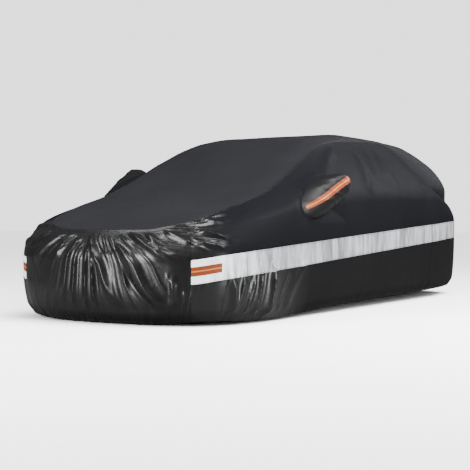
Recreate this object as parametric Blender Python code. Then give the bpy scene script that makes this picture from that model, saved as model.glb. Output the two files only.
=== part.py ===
"""A fitted car cover, as it hangs over a compact five-door car.

The cover is seventeen cloth pieces, sewn edge to edge: a top panel, a front and a rear panel, and on each side an
upper panel, a silver strip, a skirt, a mirror pocket with its tape, and an orange patch at each end of the strip.
Each piece is one closed sheet. The cover is hollow and open below.

+X is the car's left side, -Y its nose and +Z up. The origin is under the cloth, at the top of the roof. The tables
give heights above the ground and distances from the middle of the wheelbase, and every point is moved to the
origin at the end.
"""

from collections import namedtuple

import bmesh
import bpy
import numpy as np

# Cloth, in metres
CLOTH_THICKNESS = 0.002
TAPE_THICKNESS = 0.001
SEAM_GAP = 0.0003

# Where the cover rests on the roof, behind the middle of the wheelbase
ROOF_REST_Y = 0.36

# Heights of the sewn lines down a wall, as fractions of the way from the top seam to the hem
SEAM_LINE = 0.0
SHOULDER_LINE = 0.38
STRIP_TOP_LINE = 0.60
STRIP_BOTTOM_LINE = 0.72
TUCK_LINE = 0.92
HEM_LINE = 1.0
STRIP_WIDTH = 0.146

# The skirt hangs nearly straight to this height above the hem, and its elastic then draws it in
TUCK_RISE = 0.075
TUCK_SHARE = 0.3

# Facets: cells along each stretch of the seam, and down the wall
ACROSS = (-1, -0.9, -0.76, -0.58, -0.38, -0.19, 0, 0.19, 0.38, 0.58, 0.76, 0.9, 1)
CELLS_ACROSS_TOP = len(ACROSS) - 1
CELLS_ALONG_SIDE = 42
CELLS_DOWN_UPPER = 7
CELLS_DOWN_STRIP = 3
CELLS_DOWN_SKIRT = 4
NOSE_SPLIT = 3
FENDER_SPLIT = 2
FENDER_CELLS = 10

# The row of strip cells that carries the orange patches, and the patches' lengths in cells
PATCH_ROW = 1
PATCH_CELLS_FRONT = 4
PATCH_CELLS_REAR = 1

# Two sheets that meet split their cut faces the same way: along this direction, from outside to inside
RIM_ORDER = np.array([0.3, 1.0, 2.0])

# How far a mitre may lengthen or shorten the step where two sheets meet
MITRE_LIMITS = (0.3, 2.0)

# Distance, in metres, over which the flank's direction is measured, and the bend that shows as a hard edge
DIRECTION_STEP = 0.01
HARD_EDGE = np.radians(50.0)

# A fold starts narrower than it ends, fades over this share of its length, and is flat at the top seam
FOLD_START_WIDTH = 0.5
FOLD_FADE = 0.25
SEAM_FADE = 0.06

Station = namedtuple(
    "Station",
    "flank_x flank_y seam_x seam_y seam_z shoulder_in shoulder_z strip_z hem_in hem_z crown_y crown_z dome wrap spread",
    defaults=(None, None, None, None, None),
)

# From the middle of the nose round the left side to the middle of the tail. flank is the widest outline, seam the
# edge of the top panel, shoulder and hem lie inside the flank, and crown is the top panel's middle line. dome and
# wrap say how flat the top panel is across the car, seen from behind and from above, and spread how far it bulges.
STATIONS = [
    Station(0.000, -2.170, 0.000, -2.050, 0.738, 0.035, 0.640, 0.545, 0.080, 0.160),
    Station(0.300, -2.155, 0.290, -2.025, 0.740, 0.035, 0.640, 0.545, 0.080, 0.162),
    Station(0.500, -2.115, 0.475, -1.975, 0.767, 0.045, 0.655, 0.550, 0.080, 0.170),
    Station(0.660, -2.045, 0.580, -1.846, 0.808, 0.055, 0.675, 0.559, 0.075, 0.180, -2.050, 0.738, 2.5, 2.5, 0.0),
    Station(0.790, -1.920, 0.630, -1.668, 0.861, 0.055, 0.715, 0.584, 0.070, 0.185, -1.870, 0.812, 2.5, 2.5, 0.0),
    Station(0.865, -1.700, 0.660, -1.460, 0.914, 0.040, 0.770, 0.607, 0.060, 0.180, -1.630, 0.880, 2.5, 2.5, 0.0),
    Station(0.895, -1.400, 0.665, -1.215, 0.976, 0.025, 0.825, 0.628, 0.050, 0.175, -1.330, 0.955, 2.5, 2.5, 0.0),
    Station(0.905, -1.050, 0.650, -0.910, 1.092, 0.020, 0.875, 0.649, 0.050, 0.185, -1.000, 1.060, 2.5, 2.5, 0.0),
    Station(0.908, -0.650, 0.630, -0.586, 1.240, 0.015, 0.910, 0.672, 0.045, 0.200, -0.640, 1.255, 2.5, 2.5, 0.0),
    Station(0.910, -0.200, 0.600, -0.230, 1.360, 0.015, 0.935, 0.697, 0.045, 0.210, -0.230, 1.418, 4.0, 2.5, 0.0),
    Station(0.910, 0.350, 0.565, 0.300, 1.408, 0.015, 0.950, 0.727, 0.045, 0.215, 0.300, 1.474, 6.0, 3.0, 0.0),
    Station(0.908, 0.900, 0.560, 0.800, 1.428, 0.015, 0.960, 0.757, 0.045, 0.220, 0.850, 1.469, 6.0, 4.0, 0.0),
    Station(0.897, 1.300, 0.612, 1.120, 1.332, 0.020, 0.965, 0.776, 0.045, 0.225, 1.340, 1.460, 5.0, 6.0, 0.10),
    Station(0.885, 1.510, 0.712, 1.360, 1.165, 0.025, 0.950, 0.788, 0.050, 0.228, 1.780, 1.385, 3.0, 7.0, 0.22),
    Station(0.865, 1.700, 0.760, 1.510, 1.055, 0.025, 0.920, 0.796, 0.055, 0.231, 1.975, 1.170, 3.0, 7.0, 0.30),
    Station(0.800, 1.930, 0.758, 1.845, 0.950, 0.030, 0.885, 0.799, 0.060, 0.233, 2.085, 0.900, 2.5, 3.0, 0.0),
    Station(0.660, 2.060, 0.635, 1.985, 0.915, 0.030, 0.850, 0.800, 0.070, 0.233),
    Station(0.400, 2.135, 0.385, 2.062, 0.903, 0.030, 0.845, 0.800, 0.080, 0.232),
    Station(0.000, 2.160, 0.000, 2.085, 0.900, 0.030, 0.845, 0.800, 0.080, 0.230),
]
FRONT_CORNER = 3
REAR_CORNER = 15

# Mirror pocket: its place on the wall, and the pouch's size
POCKET_ROW = {"left": 2, "right": 1}
POCKET_ROWS = 3
POCKET_COLUMNS = 5
POCKET_FRONT_Y = -1.04
POCKET_HALF_LENGTH = 0.265
POCKET_HALF_HEIGHT = 0.118
POCKET_TILT = np.radians(24.0)
POCKET_DEPTH = 0.180
POCKET_SWEEP_BACK = 0.085
POCKET_DEEPEST = 0.45
POCKET_FRONT_POWER = 0.8
POCKET_P = (-1, -0.93, -0.75, -0.5, -0.25, 0, 0.25, 0.5, 0.72, 0.93, 1)
POCKET_Q = (-1, -0.67, -1 / 3, -0.17, 0.17, 1 / 3, 0.67, 1)
TAPE_ROW = 3

Fold = namedtuple("Fold", "s0 v0 s1 v1 bow width height")

# Folds of the walls. s is the distance along the flank from the middle of the nose, to the left side where positive,
# v the fraction down the wall, bow the sideways bend in the middle, and a negative height is a trough.
FOLDS = [
    # Ridges that fan out over the nose
    Fold(-0.300, 0.08, -0.530, 0.64, 0.00, 0.034, 0.015),
    Fold(-0.215, 0.06, -0.300, 0.62, -0.02, 0.030, 0.012),
    Fold(-0.150, 0.18, -0.270, 0.88, 0.02, 0.030, 0.014),
    Fold(-0.105, 0.30, -0.165, 0.92, 0.00, 0.026, 0.012),
    Fold(-0.050, 0.38, -0.060, 0.95, 0.01, 0.026, 0.012),
    Fold(0.000, 0.34, 0.030, 0.94, 0.00, 0.026, 0.012),
    Fold(-0.075, 0.06, 0.250, 0.90, -0.06, 0.034, 0.018),
    Fold(0.130, 0.28, 0.560, 0.93, -0.03, 0.040, 0.020),
    Fold(0.215, 0.64, 0.470, 0.98, 0.03, 0.030, -0.014),
    Fold(0.200, 0.06, 0.540, 0.62, 0.00, 0.034, 0.016),
    Fold(0.340, 0.08, 0.610, 0.66, -0.02, 0.030, 0.012),
    Fold(0.560, 0.66, 0.570, 0.92, 0.01, 0.030, 0.012),
    # Diagonal folds over the left fender
    Fold(0.450, 0.10, 0.720, 0.46, 0.00, 0.032, 0.014),
    Fold(0.540, 0.05, 0.830, 0.20, 0.00, 0.030, 0.012),
    Fold(0.680, 0.06, 1.000, 0.28, 0.00, 0.032, 0.014),
    Fold(0.700, 0.26, 0.980, 0.50, 0.00, 0.032, 0.014),
    Fold(0.710, 0.42, 0.930, 0.57, 0.00, 0.026, 0.010),
    # The left skirt, drawn towards the front wheel
    Fold(0.920, 0.70, 0.960, 0.97, 0.02, 0.034, 0.012),
    Fold(1.050, 0.72, 0.980, 0.94, 0.00, 0.034, 0.012),
    Fold(1.140, 0.72, 1.060, 0.96, 0.00, 0.034, 0.014),
    Fold(1.200, 0.70, 1.135, 0.98, 0.00, 0.034, 0.014),
    Fold(1.310, 0.70, 1.255, 0.99, 0.01, 0.040, 0.018),
    Fold(1.770, 0.70, 1.460, 0.95, -0.04, 0.055, 0.014),
    # Soft folds below the left roof edge
    Fold(2.760, 0.02, 2.100, 0.20, 0.00, 0.060, 0.014),
    Fold(3.080, 0.04, 2.720, 0.32, 0.03, 0.060, 0.014),
    Fold(3.300, 0.03, 3.050, 0.26, 0.02, 0.055, 0.012),
    Fold(3.490, 0.03, 3.310, 0.24, 0.02, 0.055, 0.012),
    # The right side and the tail
    Fold(-0.460, 0.10, -0.700, 0.48, 0.00, 0.034, 0.014),
    Fold(-0.640, 0.08, -0.960, 0.34, 0.00, 0.034, 0.014),
    Fold(-0.700, 0.34, -0.930, 0.56, 0.00, 0.032, 0.012),
    Fold(-1.090, 0.72, -1.010, 0.96, 0.00, 0.036, 0.014),
    Fold(-1.270, 0.71, -1.230, 0.98, 0.01, 0.040, 0.016),
    Fold(-1.650, 0.71, -1.480, 0.95, 0.03, 0.055, 0.014),
    Fold(-3.000, 0.04, -2.720, 0.30, 0.02, 0.060, 0.012),
    Fold(-3.400, 0.03, -3.250, 0.26, 0.02, 0.055, 0.012),
    Fold(5.000, 0.10, 5.080, 0.92, 0.03, 0.060, 0.014),
    Fold(5.350, 0.25, 5.300, 0.95, -0.03, 0.060, 0.012),
    Fold(-5.150, 0.12, -5.230, 0.94, 0.03, 0.060, 0.014),
]

Finish = namedtuple("Finish", "red green blue roughness")

FINISHES = {
    "top": Finish(0.045, 0.047, 0.054, 0.70),
    "glossy": Finish(0.012, 0.012, 0.013, 0.30),
    "side": Finish(0.026, 0.027, 0.030, 0.50),
    "silver": Finish(0.62, 0.63, 0.65, 0.35),
    "orange": Finish(0.80, 0.17, 0.05, 0.40),
}


def smooth_slopes(knots, values):
    """Slopes at the knots of a curve that never swings past them: level wherever the values turn."""
    step = np.diff(knots).reshape((-1,) + (1,) * (values.ndim - 1))
    chords = np.diff(values, axis=0) / step
    before, after = chords[:-1], chords[1:]
    near, far = 2 * step[1:] + step[:-1], step[1:] + 2 * step[:-1]
    turning = before * after <= 0
    before, after = np.where(turning, 1, before), np.where(turning, 1, after)
    inner = np.where(turning, 0, (near + far) / (near / before + far / after))
    return np.concatenate([chords[:1], inner, chords[-1:]])


def smooth_curve(knots, values, at):
    """Values at given places, on a smooth curve through the knots."""
    knots, values, at = np.asarray(knots), np.asarray(values, float), np.asarray(at, float)
    slopes = smooth_slopes(knots, values)
    i = np.clip(np.searchsorted(knots, at, side="right") - 1, 0, len(knots) - 2)
    span = (knots[i + 1] - knots[i]).reshape(i.shape + (1,) * (values.ndim - 1))
    f = ((at - knots[i]) / (knots[i + 1] - knots[i])).reshape(span.shape)
    rise = 3 * f**2 - 2 * f**3
    start = values[i] * (1 - rise) + slopes[i] * span * (f - 2 * f**2 + f**3)
    return start + values[i + 1] * rise + slopes[i + 1] * span * (f**3 - f**2)


def unit(vectors):
    """The same vectors, one metre long."""
    return vectors / np.linalg.norm(vectors, axis=-1, keepdims=True)


def smooth_step(f):
    """From 0 to 1, level at both ends."""
    f = np.clip(f, 0, 1)
    return f * f * (3 - 2 * f)


# Distance along the flank to each station, from the middle of the nose to the middle of the tail
FLANK = np.array([(st.flank_x, st.flank_y) for st in STATIONS])
STATION_S = np.concatenate([[0], np.cumsum(np.linalg.norm(np.diff(FLANK, axis=0), axis=1))])
HALF_GIRTH = STATION_S[-1]


def station_columns(names, s):
    """Columns of the station table at distances 0 to HALF_GIRTH, mirrored past both ends so that slopes stay level."""
    table = np.array([[getattr(st, name) for name in names] for st in STATIONS])
    flip = np.array([-1.0 if name.endswith("_x") else 1.0 for name in names])
    knots = np.concatenate([-STATION_S[1:3][::-1], STATION_S, 2 * HALF_GIRTH - STATION_S[-3:-1][::-1]])
    values = np.concatenate([table[1:3][::-1] * flip, table, table[-3:-1][::-1] * flip])
    return smooth_curve(knots, values, s)


def half_turn(s):
    """Distance on the left half, and -1 on the right side, for any distance round the cover."""
    s = np.mod(np.asarray(s, float), 2 * HALF_GIRTH)
    right = s > HALF_GIRTH
    return np.where(right, 2 * HALF_GIRTH - s, s), np.where(right, -1.0, 1.0)


def wall_lines(s):
    """Six lines at distances s round the cover: seam, shoulder, strip top, strip bottom, tuck and hem."""
    half, side = half_turn(s)
    flank = station_columns(("flank_x", "flank_y"), half)
    ahead = station_columns(("flank_x", "flank_y"), half + DIRECTION_STEP)
    behind = station_columns(("flank_x", "flank_y"), half - DIRECTION_STEP)
    along = unit(ahead - behind)
    outward = np.stack([along[:, 1], -along[:, 0]], axis=1)
    seam = station_columns(("seam_x", "seam_y", "seam_z"), half)
    rest = station_columns(("shoulder_in", "shoulder_z", "strip_z", "hem_in", "hem_z"), half)
    shoulder_in, shoulder_z, strip_z, hem_in, hem_z = rest.T

    def line(inset, height):
        return np.column_stack([flank - outward * inset[:, None], height])

    level = np.zeros_like(strip_z)
    lines = [
        seam,
        line(shoulder_in, shoulder_z),
        line(level, strip_z),
        line(level, strip_z - STRIP_WIDTH),
        line(hem_in * TUCK_SHARE, hem_z + TUCK_RISE),
        line(hem_in, hem_z),
    ]
    points = np.stack(lines, axis=0)
    points[:, :, 0] *= side
    return points


def wall_base(s, v):
    """Points of the smooth wall, without folds: rows v by columns s."""
    knots = (SEAM_LINE, SHOULDER_LINE, STRIP_TOP_LINE, STRIP_BOTTOM_LINE, TUCK_LINE, HEM_LINE)
    return smooth_curve(knots, wall_lines(s), v)


def grid_normals(points, closed=False):
    """Unit normals of a grid whose rows run down and whose columns run to the left, seen from inside."""
    if closed:
        points = np.concatenate([points[:, -1:], points, points[:, :1]], axis=1)
    down = np.gradient(points, axis=0)
    along = np.gradient(points, axis=1)
    normals = unit(np.cross(down, along))
    return normals[:, 1:-1] if closed else normals


def fold_height(s, v, wall_height):
    """How far the folds stand out of the smooth wall, at rows v by columns s."""
    signed = np.where(s > HALF_GIRTH, s - 2 * HALF_GIRTH, s)[None, :]
    down = v[:, None] * wall_height[None, :]
    height = np.zeros_like(down)
    for fold in FOLDS:
        reach = np.interp((fold.s0, fold.s1), *wall_height_table(s, wall_height))
        start = np.array([fold.s0, fold.v0 * reach[0]])
        end = np.array([fold.s1, fold.v1 * reach[1]])
        length = np.linalg.norm(end - start)
        along = (end - start) / length
        f = ((signed - start[0]) * along[0] + (down - start[1]) * along[1]) / length
        inside = np.clip(f, 0, 1)
        off = (signed - start[0]) * along[1] - (down - start[1]) * along[0]
        off = off - fold.bow * 4 * inside * (1 - inside)
        width = fold.width * (FOLD_START_WIDTH + (1 - FOLD_START_WIDTH) * inside)
        ends = smooth_step(f / FOLD_FADE) * smooth_step((1 - f) / FOLD_FADE)
        height += fold.height * np.exp(-((off / width) ** 2)) * ends
    return height * smooth_step(v / SEAM_FADE)[:, None]


def wall_height_table(s, wall_height):
    """The wall's height against signed distance, in rising order."""
    signed = np.where(s > HALF_GIRTH, s - 2 * HALF_GIRTH, s)
    order = np.argsort(signed)
    return signed[order], wall_height[order]


def split_evenly(stretch, parts):
    """The same stretch with each cell cut into equal parts."""
    cuts = [np.linspace(a, b, parts, endpoint=False) for a, b in zip(stretch[:-1], stretch[1:])]
    return np.concatenate(cuts + [stretch[-1:]])


def seam_stretches():
    """Distances of the coarse seam points, by stretch: front, left side, rear and right side."""
    front, rear = STATION_S[FRONT_CORNER], STATION_S[REAR_CORNER]
    girth = 2 * HALF_GIRTH
    crowned = STATIONS[FRONT_CORNER : REAR_CORNER + 1]
    crown = np.array([(0, st.crown_y, st.crown_z) for st in crowned])
    seam = np.array([(st.seam_x, st.seam_y, st.seam_z) for st in crowned])
    lengths = np.linalg.norm(np.diff(crown, axis=0), axis=1) + np.linalg.norm(np.diff(seam, axis=0), axis=1)
    run = np.concatenate([[0], np.cumsum(lengths)])
    even = np.linspace(0, run[-1], CELLS_ALONG_SIDE + 1)
    left = smooth_curve(run, STATION_S[FRONT_CORNER : REAR_CORNER + 1], even)
    return {
        "front": front * np.array(ACROSS),
        "left": left,
        "rear": HALF_GIRTH + (HALF_GIRTH - rear) * np.array(ACROSS),
        "right": girth - left[::-1],
    }


def wall_columns():
    """Distances of every wall column by stretch, finer at the nose and over the front wheels."""
    coarse = seam_stretches()
    fender, rest = np.split(coarse["left"], [FENDER_CELLS])
    left = np.concatenate([split_evenly(np.append(fender, rest[0]), FENDER_SPLIT)[:-1], rest])
    return {
        "front": split_evenly(coarse["front"], NOSE_SPLIT),
        "left": left,
        "rear": coarse["rear"],
        "right": 2 * HALF_GIRTH - left[::-1],
    }


def wall_rows():
    """Fractions down the wall of every row of points."""
    upper = np.linspace(SEAM_LINE, STRIP_TOP_LINE, CELLS_DOWN_UPPER + 1)
    strip = np.linspace(STRIP_TOP_LINE, STRIP_BOTTOM_LINE, CELLS_DOWN_STRIP + 1)
    skirt = np.linspace(STRIP_BOTTOM_LINE, HEM_LINE, CELLS_DOWN_SKIRT + 1)
    return np.concatenate([upper, strip[1:], skirt[1:]])


STRIP_TOP_ROW = CELLS_DOWN_UPPER
STRIP_BOTTOM_ROW = CELLS_DOWN_UPPER + CELLS_DOWN_STRIP


def top_panel_points():
    """The top panel's grid: rows from nose to tail, columns from the right side to the left."""
    seam = {name: wall_lines(s)[0] for name, s in seam_stretches().items()}
    front, left = seam["front"], seam["left"]
    rear, right = seam["rear"][::-1], seam["right"][::-1]
    back = np.linspace(0, 1, CELLS_ALONG_SIDE + 1)[:, None, None]
    aside = np.array(ACROSS)[None, :, None]
    across = (aside + 1) / 2
    ends = front[None] * (1 - back) + rear[None] * back
    sides = right[:, None] * (1 - across) + left[:, None] * across
    corners = (
        front[0] * (1 - back) * (1 - across)
        + front[-1] * (1 - back) * across
        + rear[0] * back * (1 - across)
        + rear[-1] * back * across
    )
    points = ends + sides - corners
    crowned = STATIONS[FRONT_CORNER : REAR_CORNER + 1]
    table = [(0.0, st.crown_y, st.crown_z, st.dome, st.wrap, st.spread) for st in crowned]
    rows = smooth_curve(STATION_S[FRONT_CORNER : REAR_CORNER + 1], table, seam_stretches()["left"])
    crown, dome, wrap, spread = rows[:, :3], rows[:, 3:4], rows[:, 4:5], rows[:, 5:6]
    lift = crown - points[:, CELLS_ACROSS_TOP // 2]
    aside = aside[..., 0]
    points[:, :, 1] += lift[:, 1:2] * (1 - np.abs(aside) ** wrap)
    points[:, :, 2] += lift[:, 2:3] * (1 - np.abs(aside) ** dome)
    points[:, :, 0] += left[:, :1] * spread * aside * (1 - aside**4)
    return points


def mitre(first, second, thickness):
    """The way from the outer face to the inner, where two sheets of one thickness meet."""
    share = np.clip(1 + np.sum(first * second, axis=-1, keepdims=True), *MITRE_LIMITS)
    return -(first + second) / share * thickness


class Cover:
    """Every point of the cover, and the inward step at each, shared by the pieces that meet there."""

    def __init__(self):
        stretches = wall_columns()
        names = ("front", "left", "rear", "right")
        self.v = wall_rows()
        self.s = np.concatenate([stretches[name][:-1] for name in names])
        counts = np.cumsum([0] + [len(stretches[name]) - 1 for name in names])
        self.span = {name: (counts[i], counts[i + 1]) for i, name in enumerate(names)}
        base = wall_base(self.s, self.v)
        base_normals = grid_normals(base, closed=True)
        wall_height = np.sum(np.linalg.norm(np.diff(base, axis=0), axis=2), axis=0)
        folds = fold_height(np.where(self.s < 0, self.s + 2 * HALF_GIRTH, self.s), self.v, wall_height)
        self.wall = base + base_normals * folds[..., None]
        self.top = top_panel_points()
        self.join_seam()

    def coarse_columns(self):
        """Wall columns that meet a point of the top panel's edge, with that point's row and column."""
        last_row, last_column = CELLS_ALONG_SIDE, CELLS_ACROSS_TOP
        fine_fender = FENDER_CELLS * FENDER_SPLIT
        pairs = []
        for i in range(CELLS_ACROSS_TOP):
            pairs.append((self.span["front"][0] + i * NOSE_SPLIT, 0, i))
            pairs.append((self.span["rear"][0] + i, last_row, last_column - i))
        for i in range(CELLS_ALONG_SIDE):
            left = i * FENDER_SPLIT if i < FENDER_CELLS else i - FENDER_CELLS + fine_fender
            pairs.append((self.span["left"][0] + left, i, last_column))
            j = CELLS_ALONG_SIDE - i
            right = j * FENDER_SPLIT if j < FENDER_CELLS else j - FENDER_CELLS + fine_fender
            pairs.append((self.span["right"][1] - right, j, 0))
        return sorted(pairs)

    def join_seam(self):
        """Inward steps, mitred along the seam, with the finer wall columns on the seam's straight chords."""
        normals = grid_normals(self.wall, closed=True)
        top_normals = -grid_normals(self.top)
        self.wall_in = -normals * CLOTH_THICKNESS
        self.top_in = -top_normals * CLOTH_THICKNESS
        columns = self.coarse_columns()
        for column, row, across in columns:
            step = mitre(normals[0, column], top_normals[row, across], CLOTH_THICKNESS)
            self.wall_in[0, column] = self.top_in[row, across] = step
            self.wall[0, column] = self.top[row, across]
        count = len(self.s)
        for (here, *_), (after, *_) in zip(columns, columns[1:] + columns[:1]):
            gap = (after - here) % count
            for k in range(1, gap):
                f = k / gap
                for points in (self.wall, self.wall_in):
                    points[0, here + k] = points[0, here] * (1 - f) + points[0, after % count] * f
        self.normals = normals

    def wall_patch(self, stretch, first_row, last_row):
        """Outer points, inward steps and normals of one stretch of wall, between two rows."""
        start, stop = self.span[stretch]
        columns = np.arange(start, stop + 1) % len(self.s)
        rows = slice(first_row, last_row + 1)
        return self.wall[rows][:, columns], self.wall_in[rows][:, columns], self.normals[rows][:, columns]


def trim(outer, inward, sewn):
    """The grid with each sewn border pulled back by half the seam gap, square to its cut face."""
    borders = {
        "top": (np.s_[0, :], outer[1] - outer[0]),
        "bottom": (np.s_[-1, :], outer[-2] - outer[-1]),
        "start": (np.s_[:, 0], outer[:, 1] - outer[:, 0]),
        "end": (np.s_[:, -1], outer[:, -2] - outer[:, -1]),
    }
    back = np.zeros_like(outer)
    for name in sewn:
        where, inside = borders[name]
        square = unit(np.cross(np.gradient(outer[where], axis=0), inward[where]))
        square *= np.sign(np.sum(square * inside, axis=1, keepdims=True))
        share = np.clip(1 + np.sum(back[where] * square, axis=1, keepdims=True), *MITRE_LIMITS)
        back[where] = (back[where] + square) / share
    return outer + back * SEAM_GAP / 2


def sheet_object(name, outer, inward, finish, hole=None):
    """A closed sheet from a grid of outer points, with a rim along every free edge."""
    rows, columns = outer.shape[:2]
    index = np.arange(rows * columns).reshape(rows, columns)
    triangles = []
    for r in range(rows - 1):
        for c in range(columns - 1):
            if hole and hole[0] <= r < hole[1] and hole[2] <= c < hole[3]:
                continue
            a, b, d, e = index[r, c], index[r + 1, c], index[r + 1, c + 1], index[r, c + 1]
            triangles += [(a, b, d), (a, d, e)]
    edges = {}
    for tri in triangles:
        for k in range(3):
            edges[(tri[k], tri[(k + 1) % 3])] = True
    rims = [edge for edge in edges if edge[::-1] not in edges]
    mesh = bmesh.new()
    used = sorted({i for tri in triangles for i in tri})
    flat_outer = outer.reshape(-1, 3)
    flat_inner = (outer + inward).reshape(-1, 3)
    over = {i: mesh.verts.new(flat_outer[i] - ORIGIN) for i in used}
    under = {i: mesh.verts.new(flat_inner[i] - ORIGIN) for i in used}
    for a, b, c in triangles:
        mesh.faces.new((over[a], over[b], over[c]))
        mesh.faces.new((under[c], under[b], under[a]))
    order = flat_outer @ RIM_ORDER
    for a, b in rims:
        low, high = (a, b) if order[a] < order[b] else (b, a)
        mesh.faces.new((over[b], over[a], under[high]))
        mesh.faces.new((over[low], under[a], under[b]))
    bmesh.ops.recalc_face_normals(mesh, faces=mesh.faces)
    return add_object(name, mesh, FINISHES[finish])


def add_object(name, mesh, finish):
    """An object with its own material, made from a finished bmesh."""
    data = bpy.data.meshes.new(name)
    mesh.to_mesh(data)
    mesh.free()
    data.shade_smooth()
    data.set_sharp_from_angle(angle=HARD_EDGE)
    obj = bpy.data.objects.new(name, data)
    bpy.context.scene.collection.objects.link(obj)
    material = bpy.data.materials.new(name)
    material.use_nodes = True
    shader = material.node_tree.nodes["Principled BSDF"]
    shader.inputs["Base Color"].default_value = (finish.red, finish.green, finish.blue, 1.0)
    shader.inputs["Roughness"].default_value = finish.roughness
    shader.inputs["Metallic"].default_value = 0.0
    data.materials.append(material)
    return obj


def add_panels(cover):
    """The top, front and rear panels."""
    top = trim(cover.top, cover.top_in, ("top", "bottom", "start", "end"))
    sheet_object("top_panel", top, cover.top_in, "top")
    last = len(cover.v) - 1
    for stretch, finish in (("front", "glossy"), ("rear", "side")):
        outer, inward, _ = cover.wall_patch(stretch, 0, last)
        outer = trim(outer, inward, ("top", "start", "end"))
        sheet_object(f"{stretch}_panel", outer, inward, finish)


def add_side(cover, stretch):
    """One side's upper panel, strip, skirt, patches and mirror pocket."""
    last = len(cover.v) - 1
    outer, inward, _ = cover.wall_patch(stretch, STRIP_TOP_ROW, STRIP_BOTTOM_ROW)
    trimmed = trim(outer, inward, ("top", "bottom", "start", "end"))
    sheet_object(f"strip_{stretch}", trimmed, inward, "silver")
    add_patches(cover, stretch)
    outer, inward, _ = cover.wall_patch(stretch, STRIP_BOTTOM_ROW, last)
    trimmed = trim(outer, inward, ("top", "start", "end"))
    sheet_object(f"skirt_{stretch}", trimmed, inward, "glossy")
    add_upper_and_pocket(cover, stretch)


def add_patches(cover, stretch):
    """The orange patches at the two ends of a strip, on the facets of the strip itself."""
    outer, _, normals = cover.wall_patch(stretch, STRIP_TOP_ROW, STRIP_BOTTOM_ROW)
    rows = slice(PATCH_ROW, PATCH_ROW + 2)
    ends = {
        "front": slice(0, PATCH_CELLS_FRONT + 1),
        "rear": slice(outer.shape[1] - 1 - PATCH_CELLS_REAR, outer.shape[1]),
    }
    if stretch == "right":
        last = outer.shape[1] - 1
        ends = {
            "front": slice(last - PATCH_CELLS_FRONT, last + 1),
            "rear": slice(0, PATCH_CELLS_REAR + 1),
        }
    for end, columns in ends.items():
        seat, normal = outer[rows, columns], normals[rows, columns]
        face = seat + normal * (SEAM_GAP + TAPE_THICKNESS)
        sheet_object(f"patch_{end}_{stretch}", face, -normal * TAPE_THICKNESS, "orange")


def pocket_loop(top, first_column):
    """Grid places round the pocket's hole, from its front lower corner, along the bottom and back over the top."""
    bottom = top + POCKET_ROWS
    front, rear = first_column, first_column + POCKET_COLUMNS
    loop = [(bottom, c) for c in range(front, rear)]
    loop += [(r, rear) for r in range(bottom, top, -1)]
    loop += [(top, c) for c in range(rear, front, -1)]
    loop += [(r, front) for r in range(top, bottom)]
    return loop


def leaf_outline(outer, loop):
    """The hole's outline: a leaf tilted up to the rear, inside the cells that the pocket takes."""
    corners = np.array([outer[place] for place in loop])
    centre = corners.mean(axis=0)
    back = np.array([0.0, 1.0, 0.0])
    diagonal = corners[POCKET_COLUMNS + POCKET_ROWS] - corners[0]
    outward = unit(np.cross(back, diagonal) * np.sign(centre[0]))
    outward *= np.sign(outward[0] * centre[0])
    up = np.cross(outward, back) * np.sign(centre[0])
    points = []
    for corner in corners:
        away = corner - centre
        angle = np.arctan2(away @ up, away @ back)
        along, across = np.cos(angle - POCKET_TILT), np.sin(angle - POCKET_TILT)
        reach = 1 / np.hypot(along / POCKET_HALF_LENGTH, across / POCKET_HALF_HEIGHT)
        flat = centre + reach * (np.cos(angle) * back + np.sin(angle) * up)
        points.append(flat)
    return np.array(points), outward


def border_chords(loop, first, cells, fractions):
    """Points along several chords of a loop, from its point first, at fractions 0 to 1 of the way."""
    places = np.asarray(fractions) * cells
    i = np.minimum(places.astype(int), cells - 1)
    f = (places - i)[:, None]
    a, b = loop[(first + i) % len(loop)], loop[(first + i + 1) % len(loop)]
    return a * (1 - f) + b * f


def filled_patch(loop):
    """A grid that fills a loop of points, turned one point on so that its middle rows climb to the rear."""
    p, q = np.array(POCKET_P), np.array(POCKET_Q)
    f, g = (p + 1) / 2, (q + 1) / 2
    long, short, turn = POCKET_COLUMNS, POCKET_ROWS, 1
    bottom = border_chords(loop, turn, long, f)
    rear = border_chords(loop, turn + long, short, g)
    top = border_chords(loop, turn + long + short, long, 1 - f)
    front = border_chords(loop, turn + 2 * long + short, short, 1 - g)
    f, g = f[None, :, None], g[:, None, None]
    rows = bottom[None] * (1 - g) + top[None] * g
    columns = front[:, None] * (1 - f) + rear[:, None] * f
    corners = (
        bottom[0] * (1 - f) * (1 - g) + bottom[-1] * f * (1 - g) + top[0] * (1 - f) * g + top[-1] * f * g
    )
    return rows + columns - corners


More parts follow.
